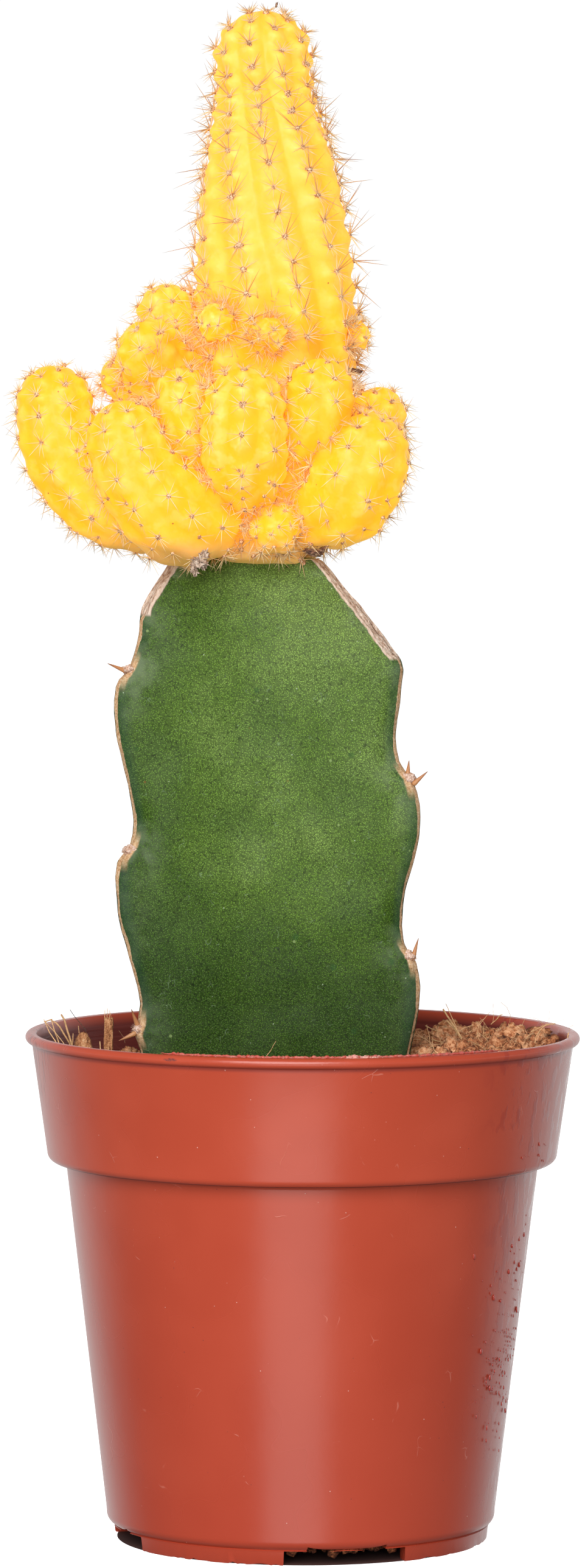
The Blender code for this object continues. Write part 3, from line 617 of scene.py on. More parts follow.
stemPoints = {        # x, y, z and radius in mm, from root to tip
    "yellow_column": (
        (-9.6, 0.0, 158.3, 9.6), (-9.3, 0.1, 162.0, 11.2), (-8.6, 0.2, 168.0, 12.6), (-6.4, 0.5, 182.0, 12.8),
        (-5.0, 0.5, 198.0, 12.5), (-5.5, 0.2, 214.0, 11.3), (-6.1, 0.0, 225.0, 9.5), (-6.7, 0.0, 233.5, 7.5),
        (-7.0, 0.0, 240.0, 7.4), (-7.2, 0.0, 247.4, 6.8),
    ),
    "offset_front_left": (
        (-12.5, -6.0, 167.0, 5.6), (-17.0, -11.4, 165.8, 7.0), (-21.0, -14.4, 166.8, 7.6),
        (-25.4, -16.0, 171.4, 7.1), (-28.2, -16.4, 177.0, 6.3), (-30.3, -16.6, 184.6, 5.7),
    ),
    "offset_front_centre": (
        (-9.4, -6.0, 173.4, 4.8), (-9.6, -12.4, 173.0, 6.0), (-9.8, -16.4, 176.2, 6.6),
        (-9.8, -17.8, 181.8, 6.4), (-9.8, -17.4, 190.2, 5.8),
    ),
    "offset_right": (
        (-1.5, -4.0, 169.0, 5.0), (3.0, -8.4, 167.6, 6.2), (6.6, -11.6, 169.4, 7.3),
        (8.6, -12.8, 174.0, 7.6), (10.2, -12.6, 178.6, 6.6), (10.9, -12.2, 183.0, 5.4),
    ),
    "offset_far_left": (
        (-17.0, -2.0, 167.0, 4.6), (-25.0, -3.4, 166.2, 5.8), (-32.0, -4.2, 168.0, 6.2),
        (-37.2, -5.0, 173.0, 6.3), (-39.8, -5.4, 179.0, 6.2), (-40.9, -5.6, 190.2, 5.7),
    ),
    "offset_front_right": (
        (-1.5, -6.0, 178.8, 3.8), (0.8, -11.0, 179.4, 4.9), (2.1, -13.4, 183.0, 5.4), (2.4, -13.6, 191.6, 5.0),
    ),
    "offset_mid_left": (
        (-12.0, -6.0, 177.6, 4.0), (-16.8, -10.8, 178.6, 4.9), (-19.4, -12.6, 182.8, 4.9), (-20.4, -12.6, 190.2, 4.4),
    ),
    "offset_upper_left": (
        (-13.0, -2.0, 186.0, 3.8), (-18.6, -5.6, 187.2, 5.0), (-23.6, -8.0, 189.8, 5.6), (-27.2, -9.0, 197.2, 5.2),
    ),
    "offset_right_back": (
        (2.0, 0.2, 173.4, 4.0), (7.4, 0.6, 174.8, 4.6), (11.0, 1.0, 179.4, 4.7), (12.2, 1.0, 186.9, 4.4),
    ),
    "offset_upper_left_back": (
        (-13.0, 2.0, 190.6, 3.6), (-18.4, 2.4, 192.4, 4.3), (-21.8, 2.4, 196.2, 4.6), (-23.0, 2.4, 203.4, 4.4),
    ),
    "offset_left_small": (
        (-15.0, -0.5, 183.0, 3.0), (-22.5, -1.0, 185.6, 3.5), (-28.4, -1.4, 187.8, 3.7), (-33.0, -1.4, 188.8, 3.4),
    ),
    "offset_back_centre": (
        (-8.0, 6.0, 173.0, 4.6), (-8.4, 12.8, 172.2, 5.8), (-8.6, 16.8, 175.6, 6.3),
        (-8.6, 18.2, 181.2, 6.1), (-8.4, 17.8, 189.0, 5.5),
    ),
    "offset_back_left": (
        (-14.0, 5.0, 168.0, 4.8), (-20.0, 10.0, 167.0, 5.8), (-24.6, 13.4, 169.8, 6.0),
        (-27.2, 15.0, 175.4, 5.6), (-28.0, 15.2, 182.0, 5.0),
    ),
    "offset_back_right": (
        (-2.0, 5.0, 168.0, 4.8), (4.0, 10.0, 167.2, 5.8), (7.8, 12.6, 170.4, 6.3),
        (9.4, 13.4, 176.2, 6.0), (9.6, 13.0, 184.4, 5.2),
    ),
    "offset_back_upper_left": (
        (-12.0, 5.0, 181.6, 3.8), (-16.2, 10.0, 183.0, 4.7), (-19.0, 12.4, 187.0, 5.0), (-20.4, 12.8, 194.4, 4.6),
    ),
    "offset_back_upper_right": (
        (-1.5, 5.0, 183.4, 3.8), (1.0, 10.6, 184.2, 4.6), (2.4, 13.2, 188.2, 4.8), (2.8, 13.6, 195.2, 4.4),
    ),
    "pup_front": ((-5.2, -7.5, 164.2, 3.4), (-4.8, -12.2, 164.4, 4.0), (-4.5, -16.2, 165.0, 3.9)),
    "pup_column_left": ((-11.8, -6.0, 195.6, 2.4), (-14.0, -8.8, 197.2, 3.1), (-15.6, -10.9, 199.4, 2.9)),
    "pup_column_front": ((-6.0, -9.6, 193.8, 2.4), (-6.0, -12.2, 195.2, 2.9), (-6.0, -14.2, 197.6, 2.7)),
    "pup_column_right": ((5.4, -1.6, 194.8, 1.8), (7.6, -2.2, 195.2, 2.2), (10.2, -2.6, 196.2, 2.1)),
    "pup_back": ((-11.4, 7.2, 163.8, 3.4), (-13.2, 11.2, 163.8, 4.0), (-14.6, 15.0, 165.0, 3.8)),
    "pup_column_back": ((-3.4, 9.8, 198.6, 2.4), (-3.0, 12.2, 199.8, 2.9), (-2.8, 14.0, 202.2, 2.7)),
}


class Stem:        # a ribbed stem drawn along a smooth curve; lengths in mm
    def __init__(self, name, points):
        self.name = name
        table = np.array(points)
        count = 97
        shares = np.linspace(0, len(points) - 1, count)
        first = np.minimum(shares.astype(int), len(points) - 2)
        t = (shares - first)[:, None]
        padded = np.vstack([2 * table[0] - table[1], table, 2 * table[-1] - table[-2]])
        before, a, b, after = (padded[first + k] for k in range(4))
        bow = (
            a + (b - before) * t / 2 + (2 * before - 5 * a + 4 * b - after) * t**2 / 2
            + (3 * a - before - 3 * b + after) * t**3 / 2
        )
        self.places, self.radii = bow[:, :3], bow[:, 3]
        self.reach = np.concatenate([[0], np.cumsum(np.linalg.norm(np.diff(self.places, axis=0), axis=1))])
        self.length = self.reach[-1]
        self.along, self.side, self.front = [], [], []
        side = np.array([1.0, 0, 0])
        for i in range(count):
            lower, upper = max(i - stems["easing"], 0), min(i + stems["easing"], count - 1)
            along = self.places[upper] - self.places[lower]
            along = along / np.linalg.norm(along)
            side = side - along * side.dot(along)
            side = side / np.linalg.norm(side)
            self.along.append(along)
            self.side.append(side)
            self.front.append(np.cross(along, side))
        self.along, self.side, self.front = map(np.array, (self.along, self.side, self.front))
        self.column = name == "yellow_column"
        self.kind = stemKinds["column" if self.column else "pup" if name.startswith("pup") else "offset"]
        self.ribs, self.gap = self.kind["ribs"], self.kind["gap"]
        self.twist = math.radians(self.kind["twist"])
        self.rootRound = stems["graftRounding"] if self.column else self.radii[0]
        self.tipRound = self.radii[-1]
        self.rng = random.Random(name)
        self.shift = np.array([self.rng.uniform(-40, 40) for _ in range(3)])
        self.tone = self.rng.random()
        self.steps = np.linspace(0, self.length, 600)
        self.counts = np.concatenate([[0], np.cumsum(np.diff(self.steps) / self.gapAt(self.steps[1:]))])

    def gapAt(self, distance):        # how far apart the areoles of one rib are here
        toTip = np.clip((self.length - distance) / (1.6 * self.tipRound), 0, 1)
        if not self.column:
            return self.gap * (0.5 + 0.5 * toTip)
        height = np.interp(distance, self.reach, self.places[:, 2])
        usual = np.interp(height, [222, 228, 235, 238, 243, 247], [1.0, 0.70, 0.72, 1.0, 0.95, 0.55])
        return self.gap * usual

    def spread(self, values, distance):
        return np.stack([np.interp(distance, self.reach, values[:, k]) for k in range(3)], -1)

    def wave(self, distance, turn):        # (nearness to a rib's crest, nearness to a tubercle's peak)
        crest = 0.5 + 0.5 * np.cos(self.ribs * turn)
        rib = np.round(turn * self.ribs / tau) % self.ribs
        counted = np.interp(distance, self.steps, self.counts)
        offset = 0.5 * (rib % 2) + 0.13 * np.sin(rib * 2.4 + self.tone * 9)
        lag = 0.16
        if self.column:
            lag = 0.12 + 0.13 * np.clip((distance - 0.8 * self.length) / (0.06 * self.length), 0, 1)
        return crest, 0.5 + 0.5 * np.cos(tau * (counted - offset + lag))

    def surface(self, distance, turn):
        distance, turn = np.asarray(distance, float), np.asarray(turn, float)
        place = self.spread(self.places, distance)
        side, front = self.spread(self.side, distance), self.spread(self.front, distance)
        radius = np.interp(distance, self.reach, self.radii)
        fromRoot = np.clip(distance / self.rootRound, 0, 1)
        toTip = np.clip((self.length - distance) / self.tipRound, 0, 1)
        dome = np.sqrt(1 - (1 - fromRoot) ** 2) * np.sqrt(1 - (1 - toTip) ** 2)
        crest, wave = self.wave(distance, turn)
        fullness = radius * dome * (1 + self.kind["ribDepth"] * (2 * crest**0.8 - 1))
        nearTip = np.clip(1.6 - (self.length - distance) / (2.2 * self.tipRound), 0, 1)
        bumps = self.kind["tubercle"] * (1.0 + (0.25 if self.column else 0.75) * nearTip)
        fullness = fullness + bumps * (wave - 0.45) * crest**0.8 * dome**0.5 * np.clip(fromRoot, 0, 1)
        angle = turn + self.twist * distance / self.length
        ring = side * np.cos(angle)[..., None] + front * np.sin(angle)[..., None]
        return place + ring * fullness[..., None]

    def areoles(self):        # (place, outward, towards the tip, share of the length) of each areole
        found = []
        for rib in range(self.ribs):
            offset = 0.5 * (rib % 2) + 0.13 * math.sin(rib * 2.4 + self.tone * 9)
            for n in range(-1, 40):
                counted = n + offset
                if not 0.35 < counted < self.counts[-1] - 0.1:
                    continue
                distance = float(np.interp(counted, self.counts, self.steps))
                turn = rib * tau / self.ribs + self.rng.gauss(0, 0.012)
                here = self.surface(distance, turn)
                ahead = self.surface(distance + 0.3, turn) - self.surface(distance - 0.3, turn)
                across = self.surface(distance, turn + 0.04) - self.surface(distance, turn - 0.04)
                outward = np.cross(across, ahead)
                if np.linalg.norm(outward) < 1e-6 or np.linalg.norm(ahead) < 1e-6:
                    continue
                outward /= np.linalg.norm(outward)
                middle = self.spread(self.places, np.array(distance))
                if np.dot(outward, here - middle) < 0 and distance < 0.9 * self.length:
                    outward = -outward
                ahead /= np.linalg.norm(ahead)
                found.append((here, outward, ahead, distance / self.length))
        return found


allStems = {name: Stem(name, points) for name, points in stemPoints.items()}


def depthInside(points, apart):        # how far points are inside the nearest other stem, in mm; below 0 outside
    deepest = np.full(len(points), -99.0)
    for stem in allStems.values():
        if stem.name == apart:
            continue
        for place, radius in zip(stem.places[::4], stem.radii[::4]):
            deepest = np.maximum(deepest, radius - np.linalg.norm(points - place, axis=1))
    return deepest


def makeSkin():
    paint = Paint(
        "yellow_skin", IOR=1.40, Subsurface_Weight=0.75, Subsurface_Scale=0.0038,
        Subsurface_Radius=(1.0, 0.55, 0.10), Emission_Strength=stems["glow"],
    )
    crest, wave = paint.stored("crest"), paint.stored("wave")
    rise, crowd, tone = paint.stored("rise"), paint.stored("crowd"), paint.stored("tone")
    height = paint.axis("Z")
    clouds = paint.cloud(5.5, 3.0)
    patches = paint.cloud(2.1, 2.0)
    colour = paint.mix(clouds.step(0.38, 0.66), (1.0, 0.275, 0.004), (1.0, 0.315, 0.014))
    pale = (patches.step(0.44, 0.66) * 0.6 + crest * wave * 0.40) * (0.45 + tone * 0.5)
    pale = pale + height.step(196.0, 208.0) * 0.26
    colour = paint.mix(pale.clamped(), colour, (1.0, 0.46, 0.21))
    colour = paint.mix((1.0 - crest).step(0.45, 1.0) * 0.35, colour, (1.0, 0.275, 0.005))
    base = (1.0 - rise.step(0.0, 0.42)) * (0.35 + 0.3 * tone)
    colour = paint.mix(base.clamped(), colour, (1.0, 0.36, 0.07))
    # painted shade: darker orange where the stems crowd against each other
    colour = paint.mix(crowd * 0.62, colour, (0.80, 0.31, 0.006))
    graft = 1.0 - height.step(159.8, 164.0)
    colour = paint.mix(graft * 0.85, colour, (0.72, 0.40, 0.15))
    specks = paint.marks(3.4, 0.035, 0.05) * paint.cloud(8.0).step(0.5, 0.56)
    colour = paint.mix(specks * 0.85, colour, (0.10, 0.035, 0.008))
    rust = paint.marks(4.6, 0.05, 0.09, (5, 1, 9)) * paint.cloud(7.0).step(0.52, 0.58)
    colour = paint.mix(rust * 0.65, colour, (0.75, 0.20, 0.02))
    # painted light: an emission glow that lifts the skin's shaded sides, standing in for light that comes through the
    # flesh; weaker where the stems crowd, at the graft and at the specks
    paintedGlow = paint.mix(crowd * 0.72, (1.0, 0.665, 0.020), (0.46, 0.28, 0.004))
    paintedGlow = paint.mix((graft * 0.85).larger(specks), paintedGlow, (0.30, 0.16, 0.045))
    paint.feed(paint.shader.inputs["Emission Color"], paintedGlow)
    rough = 0.40 + patches * 0.16 + crowd * 0.1
    relief = paint.cloud(0.35, 2.0) * 0.30 + patches * 1.4
    return paint.finish(colour, rough.clamped(), relief, 0.09)


def makeSpinePaint():
    paint = Paint(
        "spines_and_wool", IOR=1.5, Subsurface_Weight=0.12, Subsurface_Scale=0.0006,
        Subsurface_Radius=(1.0, 0.6, 0.3),
    )
    reach, central = paint.stored("reach"), paint.stored("central")
    tint, wool = paint.stored("tint"), paint.stored("wool")
    radial = paint.ramp(reach, [
        (0.0, (0.74, 0.40, 0.20)), (0.18, (0.98, 0.73, 0.37)), (0.6, (1.0, 0.84, 0.53)), (1.0, (0.90, 0.62, 0.32)),
    ])
    middle = paint.ramp(reach, [
        (0.0, (0.62, 0.30, 0.15)), (0.3, (0.52, 0.22, 0.08)), (0.7, (0.36, 0.13, 0.045)), (1.0, (0.09, 0.03, 0.015)),
    ])
    colour = paint.mix(central, radial, middle)
    colour = paint.mix(tint * 0.60, colour, (0.70, 0.37, 0.10))
    fluff = paint.mix(paint.cloud(0.22, 2.0).step(0.42, 0.6), (0.40, 0.16, 0.070), (0.95, 0.67, 0.42))
    colour = paint.mix(wool, colour, fluff)
    return paint.finish(colour, 0.45 + wool * 0.45, paint.cloud(0.15, 2.0), 0.05)


def spineShape(bend, sides=4):        # a spine one long and one thick at its foot, along Z
    bm = bmesh.new()
    bmesh.ops.create_circle(bm, cap_ends=True, segments=sides, radius=1.0)
    ring = bm.faces[:]
    for height, radius in ((0.35, 0.74), (0.7, 0.42)):
        grown = bmesh.ops.extrude_face_region(bm, geom=ring)
        ring = [face for face in grown["geom"] if isinstance(face, bmesh.types.BMFace)]
        bmesh.ops.delete(bm, geom=[face for face in bm.faces if len(face.verts) == sides and face not in ring
                                   and abs(face.calc_center_median().z - height) > 0.2
                                   and abs(face.normal.z) > 0.9], context="FACES_ONLY")
        for face in ring:
            for vert in face.verts:
                level = math.hypot(vert.co.x, vert.co.y)
                vert.co = Vector((vert.co.x / level * radius, vert.co.y / level * radius, height))
    tip = bmesh.ops.poke(bm, faces=ring)["verts"][0]
    tip.co = Vector((0, 0, 1.0))
    for vert in bm.verts:
        vert.co.x += bend * vert.co.z**2
    mesh = meshOf("spine", bm)
    store(mesh, "reach", [vert.co.z for vert in mesh.vertices])
    return mesh


def aimed(place, direction, length, thickness, roll):        # matrix that stands a unit shape along direction
    turn = Vector(direction).to_track_quat("Z", "Y").to_matrix().to_4x4()
    size = stretched((thickness, thickness, length))
    return Matrix.Translation(Vector(place) * mm) @ turn @ Matrix.Rotation(roll, 4, "Z") @ size


def makeSpines(stem):
    rng = stem.rng
    places, tints, centrals, knobs = [], [], [], []

    def bristle(root, way, length, thick, tint, central):
        places.append(aimed(root, way, length, thick, rng.random() * tau))
        tints.append(tint)
        centrals.append(central)

    found = stem.areoles()
    depths = depthInside(np.array([place for place, *_ in found]), stem.name)
    for (place, outward, ahead, share), depth in zip(found, depths):
        if depth > 0.6:
            continue
        crowded = smoothStep(depth, -4.0, -0.5)
        outward, ahead = Vector(outward), Vector(ahead)
        across = outward.cross(ahead).normalized()
        nearTip = smoothStep(share, 0.82, 0.97)
        big = stem.kind["spines"]
        young = 1.0 - 0.35 * nearTip
        radials = rng.randint(12, 16) if stem.column else rng.randint(8, 10) + int(4 * crowded + 3 * nearTip)
        start = rng.random() * tau
        for k in range(radials):
            turn = start + k * tau / radials + rng.gauss(0, 0.20)
            lift = rng.uniform(0.12, 0.55) + 0.30 * crowded + 0.2 * nearTip
            way = (across * math.cos(turn) + ahead * math.sin(turn)) * math.cos(lift) + outward * math.sin(lift)
            length = rng.uniform(*stems["radials"]) * big * young * (1.12 if math.sin(turn) < -0.3 else 1.0)
            thick = rng.uniform(*stems["radialRadius"]) * (0.7 + 0.3 * big)
            places.append(aimed(place + 0.1 * np.array(outward), way, length, thick, rng.random() * tau))
            tints.append(rng.random() ** 2.5)
            centrals.append(0.10 * rng.random() + (0.35 * share * rng.random() if stem.column else 0.0))
        count = rng.choice((1, 2, 2, 3, 3, 4)) if stem.column else rng.choice((0, 1, 1, 2))
        for k in range(count):
            turn = rng.choice((1.57, 0.6, 2.5, -1.4)) + rng.gauss(0, 0.45)
            lift = rng.uniform(0.35, 1.15)
            way = (across * math.cos(turn) + ahead * math.sin(turn)) * math.cos(lift) + outward * math.sin(lift)
            length = rng.uniform(*stems["centrals"]) * (1.0 if stem.column else 0.55)
            length *= young * (1.0 - 0.25 * nearTip)
            places.append(aimed(place, way, length, 0.092 if stem.column else 0.066, rng.random() * tau))
            tints.append(rng.random() ** 2)
            centrals.append(rng.uniform(0.6, 1.0) if stem.column else rng.uniform(0.3, 0.8))
        size = stem.kind["wool"] * rng.uniform(0.8, 1.25)
        for k in range(3):
            drift = 0.45 * size * np.array(jitter(rng)) * (k > 0)
            part = size * (1.0 if k == 0 else rng.uniform(0.45, 0.75))
            root = place + 0.06 * np.array(outward) + drift
            knobs.append(aimed(root, outward, 0.7 * part, part, rng.random() * tau))

    tries = stem.kind["tries"]
    distances = np.array([rng.random() for _ in range(tries)]) * stem.length
    turns = np.array([rng.random() for _ in range(tries)]) * tau
    spots = stem.surface(distances, turns)
    spotDepths = depthInside(spots, stem.name)
    crevice = [
        spot for spot, depth in zip(spots, spotDepths)
        if stem.kind["tuftReach"] < depth < 0.3 and spot[2] > stems["tuftsAbove"]
    ]
    for spot in crevice[:stem.kind["tufts"]]:        # dense bristles where two stems meet
        middle = stem.places[np.argmin(np.linalg.norm(stem.places - spot, axis=1))]
        away = Vector(spot - middle).normalized() * 0.5 + Vector((spot[0] + 8.5, spot[1], 3.0)).normalized() * 0.6
        for _ in range(2):
            way = away + jitter(rng, 0.55)
            length, thick = rng.uniform(1.6, 3.7), rng.uniform(0.055, 0.085)
            bristle(spot, way, length, thick, rng.random() * 0.9, 0.3 * rng.random())
    under = []
    for spot, depth in zip(spots, spotDepths):
        middle = stem.places[np.argmin(np.linalg.norm(stem.places - spot, axis=1))]
        away = Vector(spot - middle).normalized()
        apart = all(np.linalg.norm(spot - near) > stems["underGap"] for near, _ in under)
        if apart and depth < -0.3 and away.z < -0.35 and not stem.column:
            under.append((spot, away))
    for spot, away in under[:stems["underTufts"]]:        # the undersides carry them too
        knobs.append(aimed(spot, away, 0.28, 0.36, rng.random() * tau))
        for _ in range(rng.randint(5, 8)):
            way = away * 0.55 + jitter(rng, 0.6)
            bristle(spot, way, rng.uniform(1.4, 3.2), 0.066, rng.random(), rng.choice((0.0, 0.1, 0.3, 0.7)))
    if stem.column:
        for _ in range(stems["skirt"]):        # bristles that stand out round the graft
            turn, level = rng.random() * tau, rng.uniform(*stems["skirtLevels"])
            out = polar(turn)
            reach = 10.1 + 0.35 * (level - stems["skirtLevels"][0])
            root = np.array([-9.4, 0.0, level]) + reach * np.array(out)
            knobs.append(aimed(root, out, 0.34, 0.42, rng.random() * tau))
            for _ in range(rng.randint(4, 7)):
                way = out * 0.8 + Vector((rng.gauss(0, 0.6), rng.gauss(0, 0.6), rng.gauss(-0.25, 0.55)))
                bristle(root, way, rng.uniform(2.0, 4.6), 0.075, rng.random(), rng.choice((0.1, 0.3, 0.7, 0.9)))
    marks = {"tint": tints, "central": centrals, "wool": [0.0] * len(places)}
    spines = scattered("spines", spineShape(0.10), places, marks)
    knobShape = lump(2, 0.5, 3.0, 2.4)
    store(knobShape, "reach", [0.5] * len(knobShape.vertices))
    none = [0.0] * len(knobs)
    wool = scattered("wool", knobShape, knobs, {"tint": none, "central": none, "wool": [1.0] * len(knobs)})
    return joined(stem.name + "_spines", [spines, wool])


def makeStem(stem, skin, spinePaint):
    around, along = stem.kind["grid"]
    bm = bmesh.new()
    bmesh.ops.create_uvsphere(bm, u_segments=around, v_segments=along, radius=1.0)
    mesh = meshOf(stem.name + "_skin", bm)
    ball = np.empty(len(mesh.vertices) * 3)
    mesh.vertices.foreach_get("co", ball)
    ball = ball.reshape(-1, 3)
    latitude = np.arccos(np.clip(-ball[:, 2], -1, 1))
    share = latitude / math.pi - 0.35 * np.sin(2 * latitude) / tau
    turn = np.arctan2(ball[:, 1], ball[:, 0])
    distance = share * stem.length
    points = stem.surface(distance, turn)
    points = points + 0.28 * np.array([noise.noise_vector(Vector((point + stem.shift) / 6.0)) for point in points])
    mesh.vertices.foreach_set("co", (points * mm).ravel())
    crest, wave = stem.wave(distance, turn)
    depth = depthInside(points, stem.name)
    # crowd: how near the other stems press in, which the skin uses for painted shade and a weaker glow
    crowd = np.clip((depth + 3.2) / 3.2, 0, 1) ** 1.5
    marks = {"crest": crest, "wave": wave, "rise": share, "tone": np.full(len(points), stem.tone), "crowd": crowd}
    for mark, values in marks.items():
        store(mesh, mark, values)
    hold(stem.name + "_skin", mesh, skin, [stem.name])
    hold(stem.name + "_spines", makeSpines(stem), spinePaint)


yellowSkin = makeSkin()
spinePaint = makeSpinePaint()
for stem in allStems.values():
    makeStem(stem, yellowSkin, spinePaint)
print("yellow stems")

stock = {
    "top": 159.4, "axis": (-3.5, 0.0, 80.0), "lean": -0.050,
    "reach": 24.5, "swell": 2.6, "directions": (-150.0, -30.0, 90.0),
    "areoleGap": 28.8, "topAreoles": (141.5, 153.4, 133.0), "backShoulder": (146.0, 12.6, 1.3),
    "callusFrom": (150.4, 143.6, 146.0), "plump": 2.3, "hollow": 3.1,
    "around": 228, "levelGap": 0.42, "fineLevels": (70.0, 158.7),
    "leftEdge": (        # height, x
        (26, -22.6), (76, -25.4), (80.5, -25.9), (83.2, -27.0), (84.6, -26.3), (88, -26.0), (90.9, -26.5),
        (93.9, -27.2),
        (96.8, -27.9), (99.7, -28.8), (102.7, -29.3), (105.6, -29.6), (108.5, -29.8), (111.0, -29.5), (112.2, -28.6),
        (113.4, -27.6), (115.4, -27.1), (117.4, -27.0), (120.3, -27.4), (123.2, -27.9), (126.2, -28.6), (129.1, -29.2),
        (132, -29.9), (134.9, -30.3), (136.9, -30.4), (138.9, -30.1), (140.2, -29.5), (141.2, -28.5), (142.4, -27.7),
        (143.7, -27.3), (145.7, -26.8), (147.6, -26.4), (149.6, -26.3), (151.6, -25.8), (153.5, -24.7), (155.5, -23.6),
        (157.4, -22.4), (159.4, -21.3), (161, -20.4),
    ),
    "rightEdge": (
        (26, 13.6), (76, 16.5), (80.5, 17.2), (84, 17.9), (88, 18.4), (90.9, 18.6), (92.9, 18.4), (94.8, 18.0),
        (95.9, 17.4), (96.9, 16.6), (97.8, 16.1), (98.8, 15.9), (100.7, 15.7), (103.7, 15.9), (106.6, 16.3),
        (109.5, 16.9), (112.5, 17.6), (115.4, 18.2), (118.3, 18.6), (120.3, 18.6), (122.3, 18.2), (124.2, 17.5),
        (125.2, 16.5), (126.2, 15.6), (127.1, 15.0), (129.1, 14.5), (131, 14.4), (134, 14.6), (136.9, 15.1),
        (139.8, 15.4), (141.8, 15.6), (142.8, 15.3), (143.7, 15.0), (145.7, 13.3), (147.6, 11.9), (149.6, 10.4),
        (151.6, 8.9), (153.5, 7.3), (155.5, 5.7), (157.4, 4.1), (159.4, 2.5), (161, 1.2),
    ),
    "nubs": ((0, 0), (0, 1), (0, 2), (1, 1), (1, 2), (2, 0), (2, 1)),        # rib, areoles below its top one
    "nubLumps": 7, "nubHairs": 46, "seed": 5,
}

thorns = {        # rib, areoles below its top one, height above the areole, length, tilt up, tilt sideways
    "thorn_left_upper": (0, 0, 0.0, 3.6, 22.0, 0.0),
    "thorn_left_lower_up": (0, 2, 0.7, 3.2, 62.0, 8.0),
    "thorn_left_lower_down": (0, 2, -0.7, 2.6, -24.0, -14.0),
    "thorn_right_upper_out": (1, 1, -0.7, 2.8, 42.0, 6.0),
    "thorn_right_upper_in": (1, 1, 0.7, 2.2, 84.0, 20.0),
    "thorn_right_lower": (1, 2, 0.0, 3.2, 76.0, 0.0),
    "thorn_back_upper": (2, 0, 0.0, 3.0, 40.0, 6.0),
    "thorn_back_lower": (2, 1, 0.0, 2.8, 52.0, -8.0),
}


def stockAxis(height):
    x, y, level = stock["axis"]
    return np.stack([x + (height - level) * stock["lean"], np.full_like(height, y), height], -1)


def ribReach(rib, height):        # from the axis to the rib's edge
    if rib < 2:
        levels, across = zip(*stock["leftEdge" if rib == 0 else "rightEdge"])
        edge = np.interp(height, levels, across)
        return np.abs(edge - stockAxis(height)[..., 0]) / math.cos(math.radians(30.0))
    phase = (stock["topAreoles"][rib] - height) / stock["areoleGap"] % 1.0
    reach = stock["reach"] + stock["swell"] * np.sin(math.pi * phase**0.5)
    shoulder, end, bulge = stock["backShoulder"]
    share = np.clip((height - shoulder) / (stock["top"] - shoulder), 0, 1) ** bulge
    return np.where(height > shoulder, np.minimum(reach, stock["reach"] * (1 - share) + end * share), reach)


def evenReach(rib, height):        # the same without the notches and swellings
    shoulder = stock["callusFrom"][rib]
    level = np.minimum(height, shoulder)
    even = sum(ribReach(rib, np.minimum(level + near, shoulder)) for near in range(-15, 16, 3)) / 11
    here = ribReach(rib, height)
    share = np.clip((height - shoulder + 5.0) / 6.0, 0, 1)
    return even + (here - even) * share**2 * (3 - 2 * share)


def ribWay(rib):
    return polar(math.radians(stock["directions"][rib]))


def ribTip(rib, height, even=False):
    reach = (evenReach if even else ribReach)(rib, height)[..., None]
    return stockAxis(height) + reach * np.array(ribWay(rib))


def nubPlaces():
    for rib, below in stock["nubs"]:
        height = np.array(stock["topAreoles"][rib] - below * stock["areoleGap"])
        yield rib, ribTip(rib, height)


